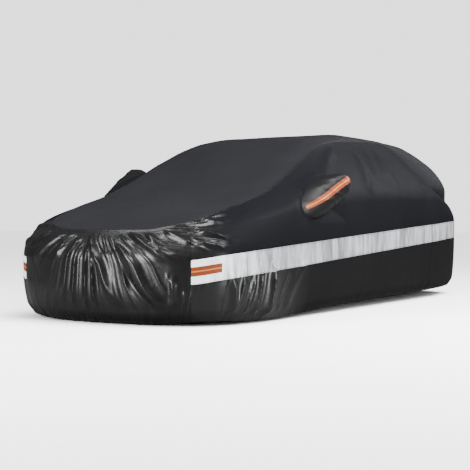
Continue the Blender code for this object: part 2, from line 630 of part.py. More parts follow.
def add_upper_and_pocket(cover, stretch):
    """A side's upper panel with its hole, and the pouch sewn into it."""
    outer, inward, _ = cover.wall_patch(stretch, 0, STRIP_TOP_ROW)
    if stretch == "right":
        outer, inward = outer[:, ::-1], inward[:, ::-1]
    top_row = POCKET_ROW[stretch]
    row_y = outer[top_row + 1, :, 1]
    first = int(np.argmin(np.abs(row_y - POCKET_FRONT_Y)))
    loop = pocket_loop(top_row, first)
    leaf, outward = leaf_outline(outer, loop)
    outer, inward = outer.copy(), inward.copy()
    patch = filled_patch(leaf)
    p, q = np.array(POCKET_P)[None, :], np.array(POCKET_Q)[:, None]
    front_half = (p + 1) / (POCKET_DEEPEST + 1)
    rear_half = np.sqrt(np.clip(1 - ((p - POCKET_DEEPEST) / (1 - POCKET_DEEPEST)) ** 2, 0, 1))
    bulge = np.where(p < POCKET_DEEPEST, front_half**POCKET_FRONT_POWER, rear_half) * np.sqrt(1 - q**2)
    tip = outward * POCKET_DEPTH + np.array([0.0, POCKET_SWEEP_BACK, 0.0])
    pouch = patch + bulge[..., None] * tip
    pouch_normals = grid_normals(pouch)
    pouch_normals *= np.sign(np.sum(pouch_normals, axis=(0, 1)) @ outward)
    steps = -pouch_normals * CLOTH_THICKNESS
    chord = np.roll(leaf, -1, axis=0) - np.roll(leaf, 1, axis=0)
    away = unit(np.cross(chord, outward))
    away *= np.sign(np.sum(away * (leaf - leaf.mean(axis=0)), axis=1, keepdims=True))
    steps_round = -(outward + away) * CLOTH_THICKNESS
    away = unit(away - outward) * SEAM_GAP / 2
    edge = np.zeros(steps.shape[:2], bool)
    edge[[0, -1], :] = edge[:, [0, -1]] = True
    steps[edge] = filled_patch(steps_round)[edge]
    pouch[edge] -= filled_patch(away)[edge]
    trimmed = trim(outer, inward, ("top", "bottom", "start", "end"))
    for place, point, step, shift in zip(loop, leaf, steps_round, away):
        trimmed[place] = point + shift
        inward[place] = step
    hole = (top_row, top_row + POCKET_ROWS, first, first + POCKET_COLUMNS)
    sheet_object(f"upper_{stretch}", trimmed, inward, "side", hole)
    sheet_object(f"mirror_pocket_{stretch}", pouch, steps, "glossy")
    tape = np.s_[TAPE_ROW : TAPE_ROW + 2, 1:-1]
    seat, normal = pouch[tape], pouch_normals[tape]
    face = seat + normal * (SEAM_GAP + TAPE_THICKNESS)
    sheet_object(f"mirror_tape_{stretch}", face, -normal * TAPE_THICKNESS, "orange")


ORIGIN = np.zeros(3)


def main():
    """Clear the scene and sew the cover."""
    global ORIGIN
    for obj in list(bpy.data.objects):
        bpy.data.objects.remove(obj, do_unlink=True)
    cover = Cover()
    middle = cover.top[:, CELLS_ACROSS_TOP // 2]
    rest = int(np.argmin(np.abs(middle[:, 1] - ROOF_REST_Y)))
    ORIGIN = middle[rest] + cover.top_in[rest, CELLS_ACROSS_TOP // 2]
    add_panels(cover)
    for stretch in ("left", "right"):
        add_side(cover, stretch)


main()
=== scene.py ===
"""The looks of a fitted car cover: fine draped cloth, its finishes, its sewing and a plain studio stage.

+X is the cover's left side, -Y its nose and +Z up. The tables give heights above the ground and distances
from a point near the cover's middle, and every point is moved to the frame's origin at the end.
"""

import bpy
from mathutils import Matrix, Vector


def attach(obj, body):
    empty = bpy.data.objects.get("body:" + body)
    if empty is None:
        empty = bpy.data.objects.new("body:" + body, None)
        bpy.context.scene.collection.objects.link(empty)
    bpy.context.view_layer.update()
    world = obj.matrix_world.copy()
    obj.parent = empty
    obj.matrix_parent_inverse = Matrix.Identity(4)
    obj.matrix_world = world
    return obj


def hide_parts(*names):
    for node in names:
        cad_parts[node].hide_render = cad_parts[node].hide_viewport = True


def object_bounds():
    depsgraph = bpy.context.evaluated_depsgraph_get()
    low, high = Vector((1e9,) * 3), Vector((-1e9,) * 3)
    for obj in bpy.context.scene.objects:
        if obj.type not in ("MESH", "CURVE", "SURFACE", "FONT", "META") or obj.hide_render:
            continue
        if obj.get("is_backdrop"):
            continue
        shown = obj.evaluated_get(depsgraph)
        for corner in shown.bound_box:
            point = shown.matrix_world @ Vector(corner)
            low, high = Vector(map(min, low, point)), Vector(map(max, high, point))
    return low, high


bl_info = {
    "name": "Fitted car cover",
    "version": (1, 0, 0),
    "blender": (4, 5, 0),
    "location": "View3D > Sidebar > Car cover",
    "description": "Sews a fitted car cover from its panels, finishes it and sets it on a plain stage",
    "category": "Add Mesh",
}

from collections import namedtuple
from functools import cache

import bpy
import numpy as np
from mathutils import Vector

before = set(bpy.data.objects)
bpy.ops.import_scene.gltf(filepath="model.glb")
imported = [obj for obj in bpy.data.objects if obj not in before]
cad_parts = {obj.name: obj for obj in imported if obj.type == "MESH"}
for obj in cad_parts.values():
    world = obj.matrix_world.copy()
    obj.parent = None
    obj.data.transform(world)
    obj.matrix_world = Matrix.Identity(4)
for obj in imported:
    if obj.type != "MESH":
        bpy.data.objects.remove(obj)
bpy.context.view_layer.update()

# ---------------------------------------------------------------- the cut of the cover

# Heights of the sewn lines down a wall, as fractions of the way from the top seam to the hem
SEAM_LINE = 0.0
SHOULDER_LINE = 0.38
STRIP_TOP_LINE = 0.60
STRIP_BOTTOM_LINE = 0.72
TUCK_LINE = 0.92
HEM_LINE = 1.0
STRIP_WIDTH = 0.146

# The skirt hangs nearly straight to this height above the hem, and its elastic then draws it in
TUCK_RISE = 0.075
TUCK_SHARE = 0.3

# Where the cover rests on the roof
ROOF_REST_Y = 0.36

# Cells of the cut, each of which is divided again for the cloth
ACROSS = (-1, -0.9, -0.76, -0.58, -0.38, -0.19, 0, 0.19, 0.38, 0.58, 0.76, 0.9, 1)
CELLS_ALONG_SIDE = 42
CELLS_DOWN_UPPER = 7
CELLS_DOWN_STRIP = 3
CELLS_DOWN_SKIRT = 4
NOSE_SPLIT = 3
FENDER_SPLIT = 2
FENDER_CELLS = 10

# Least and greatest share that a mitre is divided by, the step by which the
# wall's direction is measured, and the angle from which an edge stays hard
MITRE_LIMITS = (0.3, 2.0)
DIRECTION_STEP = 0.01
HARD_EDGE = np.radians(50.0)

Station = namedtuple(
    "Station",
    "flank_x flank_y seam_x seam_y seam_z shoulder_in shoulder_z strip_z hem_in hem_z "
    "crown_y crown_z dome wrap spread",
    defaults=(None, None, 2.5, 2.5, 0.0),
)

# From the middle of the nose round the left side to the middle of the tail. flank is the
# widest outline, seam the edge of the top panel, shoulder and hem lie inside the flank,
# and crown is the top panel's middle line. dome and wrap say how flat the top panel is
# across the cover, seen from behind and from above, and spread how far it bulges.
STATIONS = [
    Station(0.0, -2.17, 0.0, -2.05, 0.738, 0.035, 0.64, 0.545, 0.08, 0.16),
    Station(0.3, -2.155, 0.29, -2.025, 0.74, 0.035, 0.64, 0.545, 0.08, 0.162),
    Station(0.5, -2.115, 0.475, -1.975, 0.767, 0.045, 0.655, 0.55, 0.08, 0.17),
    Station(0.66, -2.045, 0.58, -1.846, 0.808, 0.055, 0.675, 0.559, 0.075, 0.18, -2.05, 0.738),
    Station(0.79, -1.92, 0.63, -1.668, 0.861, 0.055, 0.715, 0.584, 0.07, 0.185, -1.87, 0.812),
    Station(0.865, -1.7, 0.66, -1.46, 0.914, 0.04, 0.77, 0.607, 0.06, 0.18, -1.63, 0.88),
    Station(0.895, -1.4, 0.665, -1.215, 0.976, 0.025, 0.825, 0.628, 0.05, 0.175, -1.33, 0.955),
    Station(0.905, -1.05, 0.65, -0.91, 1.092, 0.02, 0.875, 0.649, 0.05, 0.185, -1.0, 1.06),
    Station(0.908, -0.65, 0.63, -0.586, 1.24, 0.015, 0.91, 0.672, 0.045, 0.2, -0.64, 1.255),
    Station(0.91, -0.2, 0.6, -0.23, 1.36, 0.015, 0.935, 0.697, 0.045, 0.21, -0.23, 1.418, 4.0),
    Station(0.91, 0.35, 0.565, 0.3, 1.408, 0.015, 0.95, 0.727, 0.045, 0.215, 0.3, 1.474, 6.0, 3.0),
    Station(0.908, 0.9, 0.56, 0.8, 1.428, 0.015, 0.96, 0.757, 0.045, 0.22, 0.85, 1.469, 6.0, 4.0),
    Station(0.897, 1.3, 0.612, 1.12, 1.332, 0.02, 0.965, 0.776, 0.045, 0.225, 1.34, 1.46, 5.0, 6.0, 0.1),
    Station(0.885, 1.51, 0.712, 1.36, 1.165, 0.025, 0.95, 0.788, 0.05, 0.228, 1.78, 1.385, 3.0, 7.0, 0.19),
    Station(0.865, 1.7, 0.76, 1.51, 1.055, 0.025, 0.92, 0.796, 0.055, 0.231, 1.975, 1.17, 3.0, 7.0, 0.25),
    Station(0.8, 1.93, 0.758, 1.845, 0.95, 0.03, 0.885, 0.799, 0.06, 0.233, 2.085, 0.9, 2.5, 3.0),
    Station(0.66, 2.06, 0.635, 1.985, 0.915, 0.03, 0.85, 0.8, 0.07, 0.233),
    Station(0.4, 2.135, 0.385, 2.062, 0.903, 0.03, 0.845, 0.8, 0.08, 0.232),
    Station(0.0, 2.16, 0.0, 2.085, 0.9, 0.03, 0.845, 0.8, 0.08, 0.23),
]
FRONT_CORNER = 3
REAR_CORNER = 15

# How near the top panel's edge its bulge to the sides fades out
SPREAD_POWER = 4

# Mirror pocket: its place on the wall, and the pouch's size
POCKET_ROW = {"left": 2, "right": 1}
POCKET_ROWS = 3
POCKET_COLUMNS = 5
POCKET_FRONT_Y = -1.04
POCKET_HALF_LENGTH = 0.265
POCKET_HALF_HEIGHT = 0.118
POCKET_TILT = np.radians(24.0)
POCKET_DEPTH = 0.180
POCKET_SWEEP_BACK = 0.085
POCKET_DEEPEST = 0.45
POCKET_FRONT_POWER = 0.8
POCKET_P = (-1, -0.93, -0.75, -0.5, -0.25, 0, 0.25, 0.5, 0.72, 0.93, 1)
POCKET_Q = (-1, -0.67, -1 / 3, -0.17, 0.17, 1 / 3, 0.67, 1)
TAPE_ROW = 3
TAPE_WIDTH = 0.045

# The row of strip cells that carries the orange patches, and the patches' lengths in cells
PATCH_ROW = 1
PATCH_CELLS_FRONT = 4
PATCH_CELLS_REAR = 1

# ---------------------------------------------------------------- folds and creases

Fold = namedtuple("Fold", "s0 v0 s1 v1 bow width height")

# Folds of the walls. s is the distance along the flank from the middle of
# the nose, to the left side where positive, v the fraction down the wall,
# bow the sideways bend in the middle, and a negative height is a trough.
FOLDS = [
    # Ridges that fan out over the nose
    Fold(-0.300, 0.08, -0.530, 0.64, 0.00, 0.034, 0.015),
    Fold(-0.215, 0.06, -0.300, 0.62, -0.02, 0.030, 0.012),
    Fold(-0.150, 0.18, -0.270, 0.88, 0.02, 0.030, 0.014),
    Fold(-0.105, 0.30, -0.165, 0.92, 0.00, 0.026, 0.012),
    Fold(-0.050, 0.38, -0.060, 0.95, 0.01, 0.026, 0.012),
    Fold(0.000, 0.34, 0.030, 0.94, 0.00, 0.026, 0.012),
    Fold(-0.075, 0.06, 0.250, 0.90, -0.06, 0.034, 0.018),
    Fold(0.130, 0.28, 0.560, 0.93, -0.03, 0.040, 0.020),
    Fold(0.215, 0.64, 0.470, 0.98, 0.03, 0.030, -0.014),
    Fold(0.200, 0.06, 0.540, 0.62, 0.00, 0.034, 0.016),
    Fold(0.340, 0.08, 0.610, 0.66, -0.02, 0.030, 0.012),
    Fold(0.560, 0.66, 0.570, 0.92, 0.01, 0.030, 0.012),
    # Diagonal folds over the left fender
    Fold(0.450, 0.10, 0.720, 0.46, 0.00, 0.032, 0.014),
    Fold(0.540, 0.05, 0.830, 0.20, 0.00, 0.030, 0.012),
    Fold(0.680, 0.06, 1.000, 0.28, 0.00, 0.032, 0.014),
    Fold(0.700, 0.26, 0.980, 0.50, 0.00, 0.032, 0.014),
    Fold(0.710, 0.42, 0.930, 0.57, 0.00, 0.026, 0.010),
    # The left skirt, drawn together towards its hem
    Fold(0.920, 0.70, 0.960, 0.97, 0.02, 0.034, 0.012),
    Fold(1.050, 0.72, 0.980, 0.94, 0.00, 0.034, 0.012),
    Fold(1.140, 0.72, 1.060, 0.96, 0.00, 0.034, 0.014),
    Fold(1.200, 0.70, 1.135, 0.98, 0.00, 0.034, 0.014),
    Fold(1.310, 0.70, 1.255, 0.99, 0.01, 0.040, 0.018),
    Fold(1.770, 0.70, 1.460, 0.95, -0.04, 0.055, 0.014),
    # Soft folds below the left roof edge
    Fold(2.760, 0.02, 2.100, 0.20, 0.00, 0.060, 0.014),
    Fold(3.080, 0.04, 2.720, 0.32, 0.03, 0.060, 0.014),
    Fold(3.300, 0.03, 3.050, 0.26, 0.02, 0.055, 0.012),
    Fold(3.490, 0.03, 3.310, 0.24, 0.02, 0.055, 0.012),
    # The right side and the tail
    Fold(-0.460, 0.10, -0.700, 0.48, 0.00, 0.034, 0.014),
    Fold(-0.640, 0.08, -0.960, 0.34, 0.00, 0.034, 0.014),
    Fold(-0.700, 0.34, -0.930, 0.56, 0.00, 0.032, 0.012),
    Fold(-1.090, 0.72, -1.010, 0.96, 0.00, 0.036, 0.014),
    Fold(-1.270, 0.71, -1.230, 0.98, 0.01, 0.040, 0.016),
    Fold(-1.650, 0.71, -1.480, 0.95, 0.03, 0.055, 0.014),
    Fold(-3.000, 0.04, -2.720, 0.30, 0.02, 0.060, 0.012),
    Fold(-3.400, 0.03, -3.250, 0.26, 0.02, 0.055, 0.012),
    Fold(5.000, 0.10, 5.080, 0.92, 0.03, 0.060, 0.014),
    Fold(5.350, 0.25, 5.300, 0.95, -0.03, 0.060, 0.012),
    Fold(-5.150, 0.12, -5.230, 0.94, 0.03, 0.060, 0.014),
]

# Sharper creases that ride on the folds, in the same columns
CREASES = [
    # Beside the ridges of the nose
    Fold(-0.260, 0.05, -0.420, 0.60, 0.01, 0.012, 0.006),
    Fold(-0.190, 0.10, -0.270, 0.52, -0.01, 0.010, 0.005),
    Fold(-0.176, 0.44, -0.243, 0.82, 0.01, 0.009, 0.006),
    Fold(-0.121, 0.52, -0.177, 0.90, 0.01, 0.008, 0.006),
    Fold(-0.085, 0.50, -0.110, 0.90, 0.00, 0.007, 0.005),
    Fold(-0.037, 0.50, -0.056, 0.94, 0.00, 0.008, 0.006),
    Fold(-0.019, 0.46, 0.019, 0.88, 0.01, 0.008, 0.006),
    Fold(0.030, 0.50, 0.085, 0.92, 0.01, 0.007, 0.005),
    Fold(-0.065, 0.07, 0.196, 0.84, -0.05, 0.012, 0.008),
    Fold(-0.020, 0.06, 0.150, 0.60, -0.03, 0.009, 0.004),
    Fold(0.060, 0.10, 0.300, 0.70, -0.03, 0.010, 0.005),
    Fold(0.168, 0.33, 0.550, 0.90, -0.02, 0.012, 0.009),
    Fold(0.140, 0.10, 0.330, 0.48, -0.01, 0.009, 0.005),
    Fold(0.215, 0.08, 0.532, 0.60, -0.01, 0.011, 0.007),
    Fold(0.300, 0.40, 0.560, 0.80, 0.00, 0.009, 0.005),
    Fold(0.300, 0.06, 0.560, 0.46, 0.00, 0.009, 0.005),
    Fold(0.250, 0.70, 0.320, 0.96, 0.00, 0.009, -0.005),
    Fold(0.420, 0.84, 0.450, 0.98, 0.00, 0.010, 0.006),
    # Over the left fender
    Fold(0.476, 0.14, 0.690, 0.45, 0.00, 0.010, 0.007),
    Fold(0.500, 0.03, 0.700, 0.09, 0.00, 0.008, 0.005),
    Fold(0.420, 0.05, 0.600, 0.26, 0.00, 0.008, 0.004),
    Fold(0.600, 0.10, 0.860, 0.32, 0.00, 0.009, 0.006),
    Fold(0.681, 0.03, 0.985, 0.27, 0.01, 0.010, 0.007),
    Fold(0.718, 0.28, 0.955, 0.50, 0.00, 0.010, 0.007),
    Fold(0.728, 0.42, 0.905, 0.56, 0.00, 0.008, 0.005),
    Fold(0.640, 0.36, 0.800, 0.56, 0.00, 0.008, 0.005),
    Fold(0.560, 0.04, 0.810, 0.16, 0.01, 0.009, 0.009),
    Fold(0.640, 0.02, 0.960, 0.17, 0.01, 0.009, 0.009),
    Fold(0.560, 0.12, 0.840, 0.36, 0.01, 0.009, 0.010),
    Fold(0.610, 0.20, 0.900, 0.43, 0.00, 0.009, 0.010),
    Fold(0.640, 0.29, 0.930, 0.53, 0.00, 0.009, 0.010),
    Fold(0.760, 0.05, 1.020, 0.22, 0.01, 0.009, 0.009),
    Fold(0.760, 0.14, 0.980, 0.32, 0.00, 0.009, 0.008),
    # Crumples by the front end of the strip
    Fold(0.520, 0.66, 0.600, 0.74, 0.00, 0.009, 0.005),
    Fold(0.560, 0.70, 0.569, 0.88, 0.01, 0.009, 0.006),
    Fold(0.640, 0.74, 0.630, 0.90, 0.00, 0.010, 0.005),
    # The left skirt
    Fold(0.914, 0.66, 0.952, 0.95, 0.03, 0.010, 0.008),
    Fold(1.060, 0.64, 0.989, 0.90, 0.00, 0.009, 0.008),
    Fold(1.110, 0.63, 1.020, 0.95, 0.00, 0.009, 0.007),
    Fold(1.160, 0.65, 1.064, 0.93, 0.00, 0.010, 0.008),
    Fold(1.215, 0.61, 1.138, 0.97, 0.00, 0.020, 0.015),
    Fold(1.265, 0.62, 1.190, 0.96, 0.01, 0.009, 0.008),
    Fold(1.325, 0.61, 1.259, 0.99, 0.01, 0.034, 0.026),
    Fold(1.560, 0.72, 1.400, 0.96, -0.03, 0.016, 0.010),
]

Crumple = namedtuple("Crumple", "s0 s1 v0 v1 lean pitch length height seed")

# Fields of small uneven wrinkles on the left side: where they lie on the wall, how far they lean
# from upright towards the left in degrees, how far apart and how long they are, and their height
LEFT_CRUMPLES = [
    Crumple(0.36, 1.12, -0.06, 0.62, 62.0, 0.026, 0.70, 0.0030, 11),
    Crumple(0.42, 1.50, 0.66, 1.00, -14.0, 0.036, 0.24, 0.0050, 13),
    Crumple(0.60, 4.60, 0.59, 0.73, 10.0, 0.040, 0.20, 0.0055, 15),
    Crumple(2.00, 4.40, 0.00, 0.45, -30.0, 0.160, 0.90, 0.0040, 17),
    Crumple(1.50, 4.70, 0.72, 1.00, -8.0, 0.170, 0.70, 0.0020, 19),
    Crumple(4.60, 6.00, 0.05, 1.00, 4.0, 0.090, 0.60, 0.0060, 21),
]


def mirrored(field):
    """The same field of wrinkles on the right side."""
    return field._replace(s0=-field.s1, s1=-field.s0, lean=-field.lean, seed=field.seed + 1)


CRUMPLES = [side for field in LEFT_CRUMPLES for side in (field, mirrored(field))]

Fan = namedtuple("Fan", "s v reach v0 v1 spokes length height seed")

# Fine ridges that run out from one point of the top seam over the nose
FANS = [
    Fan(-0.050, -0.10, 0.72, 0.10, 1.00, 11.0, 0.60, 0.0075, 31),
    Fan(-0.050, -0.10, 0.72, 0.20, 1.00, 25.0, 0.40, 0.0024, 32),
]

# Soft edges of a fan: metres along the wall, and the share of its height
FAN_EDGES = (0.25, 0.22)

# How far a fan's ridges wander, as a share of the way between two, and how often to the radian
FAN_WANDER = 0.9
FAN_WANDER_WAVES = 3.0

# A fan's ridges are uneven in height: their mean share, how far it varies, and how often to the ridge
FAN_SHARE = 0.6
FAN_UNEVEN = 0.6
FAN_UNEVEN_WAVES = 0.4

# How far a field's wrinkles wander, as a share of their pitch, and over how many pitches
CRUMPLE_WANDER = 0.6
CRUMPLE_WANDER_PITCHES = 4.0

# Steps from a field's own seed to those of its wandering and of its uneven height
WANDER_SEED = 100
UNEVEN_SEED = 200

# Shares of a fold: the part of its length over which each end rises, and its width where it starts
FOLD_END = 0.25
FOLD_START_WIDTH = 0.5

# Width of a crease's crest, and the share of the wall below the top seam where all folds grow from nothing
CREST_WIDTH = 0.0035
SEAM_FADE = 0.06

# Soft edges of a field of wrinkles: shares of its length and height, and the longest in metres
FIELD_EDGES = (0.25, 0.22)
LONGEST_EDGE = 0.35

# The mean of uneven ridges, taken off so that a field of them neither swells nor sinks the cloth
RIDGE_MEAN = 0.3

# The elastic gathers the hem into small pleats, which are higher away from the sides' plain stretch
PLEAT_PITCH = 0.030
PLEAT_START = 0.90
PLEAT_HEIGHT = 0.0016
PLEAT_EXTRA_HEIGHT = 0.0026
PLAIN_STRETCH = (0.6, 4.9, 0.6)
PLEAT_SEED = 41

Sway = namedtuple("Sway", "along across height seed")

# The top panel's slight waves, by their number to the metre, and the puckers along its front seam
SWAYS = [Sway(2.2, 3.0, 0.0016, 61), Sway(7.0, 5.0, 0.0012, 62)]
PUCKER_PITCH = 0.045
PUCKER_WANDER = 3.0
PUCKER_HEIGHT = 0.0035
PUCKER_REACH = 0.10
PUCKER_SEED = 63
FLAT_BORDER = 0.05

# ---------------------------------------------------------------- pieces and their cloth

Piece = namedtuple("Piece", "slot width length area held")


def length(name, description, default):
    """A length that a user may change."""
    return bpy.props.FloatProperty(name=name, description=description, default=default, unit="LENGTH")


def colour(name, description, default):
    """A colour that a user may change."""
    return bpy.props.FloatVectorProperty(
        name=name, description=description, default=default, subtype="COLOR"
    )


class CoverSizes(bpy.types.PropertyGroup):
    """Sizes of the cloth and its sewing."""

    cloth_thickness: length("Cloth thickness", "Thickness of the cloth", 0.002)
    tape_thickness: length("Tape thickness", "Thickness of tapes and patches", 0.001)
    seam_gap: length("Seam gap", "Gap between two sewn edges", 0.0003)
    refine: bpy.props.IntProperty(
        name="Cloth cells", description="Parts of each cell of the cut", default=8, min=1, max=10
    )
    crease_gain: bpy.props.FloatProperty(
        name="Crease gain", description="Height of the creases against their table", default=1.0, min=0.0
    )
    stitch_pitch: length("Stitch pitch", "Distance from one stitch to the next", 0.008)
    stitch_inset: length("Stitch inset", "Distance of the stitches from the seam", 0.007)
    thread_radius: length("Thread radius", "Radius of the sewing thread", 0.0006)


class CoverColours(bpy.types.PropertyGroup):
    """Colours of the cloth, the strip and the tapes."""

    matte: colour("Top cloth", "Smooth matte cloth", (0.0066, 0.0066, 0.0077))
    glossy: colour("Glossy cloth", "Coated cloth of nose and skirts", (0.004, 0.004, 0.0043))
    side: colour("Side cloth", "Cloth of the upper sides", (0.0036, 0.0038, 0.0046))
    silver: colour("Silver strip", "Reflective strip", (0.25, 0.257, 0.268))
    orange: colour("Orange", "Orange of tapes and patches", (0.15, 0.026, 0.004))
    pale: colour("Pale line", "Pale line along tapes", (0.34, 0.15, 0.055))
    thread: colour("Thread", "Sewing thread", (0.020, 0.020, 0.022))
    floor: colour("Floor", "Plain pale floor", (0.86, 0.86, 0.86))


# ---------------------------------------------------------------- curves and fields

# The least length that anything is divided by, and the size of the lattice behind soft noise
TINY = 1e-12
LATTICE = 97


def smooth_slopes(knots, values):
    """Slopes at the knots of a curve that never swings past them: level wherever the values turn."""
    step = np.diff(knots).reshape((-1,) + (1,) * (values.ndim - 1))
    chords = np.diff(values, axis=0) / step
    before, after = chords[:-1], chords[1:]
    near, far = 2 * step[1:] + step[:-1], step[1:] + 2 * step[:-1]
    turning = before * after <= 0
    before, after = np.where(turning, 1, before), np.where(turning, 1, after)
    inner = np.where(turning, 0, (near + far) / (near / before + far / after))
    return np.concatenate([chords[:1], inner, chords[-1:]])


def smooth_curve(knots, values, at):
    """Values at given places, on a smooth curve through the knots."""
    knots, values, at = np.asarray(knots), np.asarray(values, float), np.asarray(at, float)
    slopes = smooth_slopes(knots, values)
    i = np.clip(np.searchsorted(knots, at, side="right") - 1, 0, len(knots) - 2)
    span = (knots[i + 1] - knots[i]).reshape(i.shape + (1,) * (values.ndim - 1))
    f = ((at - knots[i]) / (knots[i + 1] - knots[i])).reshape(span.shape)
    rise = 3 * f**2 - 2 * f**3
    start = values[i] * (1 - rise) + slopes[i] * span * (f - 2 * f**2 + f**3)
    return start + values[i + 1] * rise + slopes[i + 1] * span * (f**3 - f**2)


def unit(vectors):
    """The same vectors, one metre long."""
    return vectors / np.maximum(np.linalg.norm(vectors, axis=-1, keepdims=True), TINY)


def smooth_step(f):
    """From 0 to 1, level at both ends."""
    f = np.clip(f, 0, 1)
    return f * f * (3 - 2 * f)


def arch(f):
    """From 0 up to 1 in the middle and back to 0."""
    return 4 * f * (1 - f)


def split_evenly(stretch, parts):
    """The same stretch with each cell cut into equal parts."""
    stretch = np.asarray(stretch, float)
    cuts = [np.linspace(a, b, parts, endpoint=False) for a, b in zip(stretch[:-1], stretch[1:])]
    return np.concatenate(cuts + [stretch[-1:]])


def soft_noise(x, y, seed):
    """Smooth uneven waves between -1 and 1, about one unit apart."""
    size = LATTICE
    lattice = np.random.default_rng(seed).uniform(-1, 1, (size, size))
    i, j = np.floor(x).astype(int), np.floor(y).astype(int)
    fx, fy = smooth_step(x - i), smooth_step(y - j)
    near = lattice[i % size, j % size] * (1 - fx) + lattice[(i + 1) % size, j % size] * fx
    far = lattice[i % size, (j + 1) % size] * (1 - fx) + lattice[(i + 1) % size, (j + 1) % size] * fx
    return near * (1 - fy) + far * fy


def ridges(x, y, seed):
    """Uneven ridges from 0 to 1 with narrow crests, one unit apart along x."""
    return (1 - np.abs(soft_noise(x, y, seed))) ** 3


def wrinkles(x, y, seed):
    """Uneven ridges one unit apart along x, with narrow crests, about the cloth's own level."""
    return ridges(x, y, seed) - RIDGE_MEAN


def window(x, low, high, soft):
    """1 between two limits, and 0 beyond them, with soft edges inside the limits."""
    return smooth_step((x - low) / soft) * smooth_step((high - x) / soft)


def leaning(x, down, lean):
    """Places across and along lines that lean from upright by an angle."""
    return x * np.cos(lean) - down * np.sin(lean), x * np.sin(lean) + down * np.cos(lean)


def around(x, down, apex_x, apex_down):
    """Angle and distance of places from a point above them."""
    x, y = x - apex_x, down - apex_down
    return np.arctan2(x, y), np.hypot(x, y)


# Distance along the flank to each station, from the middle of the nose to the middle of the tail
FLANK = np.array([(st.flank_x, st.flank_y) for st in STATIONS])
STATION_S = np.concatenate([[0], np.cumsum(np.linalg.norm(np.diff(FLANK, axis=0), axis=1))])
HALF_GIRTH = STATION_S[-1]


def station_columns(names, s):
    """Columns of the station table at distances along the flank, mirrored past both ends."""
    table = np.array([[getattr(st, name) for name in names] for st in STATIONS])
    flip = np.array([-1.0 if name.endswith("_x") else 1.0 for name in names])
    knots = np.concatenate([-STATION_S[1:3][::-1], STATION_S, 2 * HALF_GIRTH - STATION_S[-3:-1][::-1]])
    values = np.concatenate([table[1:3][::-1] * flip, table, table[-3:-1][::-1] * flip])
    return smooth_curve(knots, values, s)


def wall_lines(s):
    """Six lines at distances s round the cover: seam, shoulder, strip top, strip bottom, tuck and hem."""
    s = np.mod(np.asarray(s, float), 2 * HALF_GIRTH)
    side = np.where(s > HALF_GIRTH, -1.0, 1.0)
    half = np.where(s > HALF_GIRTH, 2 * HALF_GIRTH - s, s)
    flank = station_columns(("flank_x", "flank_y"), half)
    ahead = station_columns(("flank_x", "flank_y"), half + DIRECTION_STEP)
    behind = station_columns(("flank_x", "flank_y"), half - DIRECTION_STEP)
    along = unit(ahead - behind)
    outward = np.stack([along[:, 1], -along[:, 0]], axis=1)
    seam = station_columns(("seam_x", "seam_y", "seam_z"), half)
    rest = station_columns(("shoulder_in", "shoulder_z", "strip_z", "hem_in", "hem_z"), half)
    shoulder_in, shoulder_z, strip_z, hem_in, hem_z = rest.T

    def line(inset, height):
        return np.column_stack([flank - outward * inset[:, None], height])

    level = np.zeros_like(strip_z)
    lines = [
        seam,
        line(shoulder_in, shoulder_z),
        line(level, strip_z),
        line(level, strip_z - STRIP_WIDTH),
        line(hem_in * TUCK_SHARE, hem_z + TUCK_RISE),
        line(hem_in, hem_z),
    ]
    points = np.stack(lines, axis=0)
    points[:, :, 0] *= side
    return points


def grid_normals(points, closed=False):
    """Unit normals of a grid whose rows run down and whose columns run to the left, seen from inside."""
    if closed:
        points = np.concatenate([points[:, -1:], points, points[:, :1]], axis=1)
    down = np.gradient(points, axis=0)
    along = np.gradient(points, axis=1)
    normals = unit(np.cross(down, along))
    return normals[:, 1:-1] if closed else normals


def signed_distance(s):
    """Distance from the middle of the nose, negative on the right side."""
    s = np.mod(s, 2 * HALF_GIRTH)
    return np.where(s > HALF_GIRTH, s - 2 * HALF_GIRTH, s)


def line_heights(folds, signed, down, wall_height, crest=0.0):
    """How far folds along given lines stand out of the wall. crest is a sharp crest's width, or 0."""
    order = np.argsort(signed[0])
    table = signed[0][order], wall_height[order]
    height = np.zeros_like(down)
    for fold in folds:
        reach = np.interp((fold.s0, fold.s1), *table)
        start = np.array([fold.s0, fold.v0 * reach[0]])
        end = np.array([fold.s1, fold.v1 * reach[1]])
        length = np.linalg.norm(end - start)
        along = (end - start) / length
        f = ((signed - start[0]) * along[0] + (down - start[1]) * along[1]) / length
        inside = np.clip(f, 0, 1)
        off = (signed - start[0]) * along[1] - (down - start[1]) * along[0]
        off = off - fold.bow * arch(inside)
        width = fold.width * (FOLD_START_WIDTH + (1 - FOLD_START_WIDTH) * inside)
        ends = smooth_step(f / FOLD_END) * smooth_step((1 - f) / FOLD_END)
        if crest:
            shape = np.exp(-(np.sqrt(off**2 + crest**2) - crest) / width)
        else:
            shape = np.exp(-((off / width) ** 2))
        height += fold.height * shape * ends
    return height


def crumple_heights(signed, v, down):
    """The small wrinkles of every field, at rows v by columns."""
    height = np.zeros_like(down)
    for field in CRUMPLES:
        edge_s, edge_v = FIELD_EDGES[0] * (field.s1 - field.s0), FIELD_EDGES[1] * (field.v1 - field.v0)
        where = window(signed, field.s0, field.s1, min(edge_s, LONGEST_EDGE))
        where = where * window(v, field.v0, field.v1, edge_v)
        across, along = leaning(signed, down, np.radians(field.lean))
        broad = CRUMPLE_WANDER_PITCHES * field.pitch
        wander = CRUMPLE_WANDER * soft_noise(along / field.length, across / broad, field.seed + WANDER_SEED)
        shape = wrinkles(across / field.pitch + wander, along / field.length, field.seed)
        height += field.height * where * shape
    return height


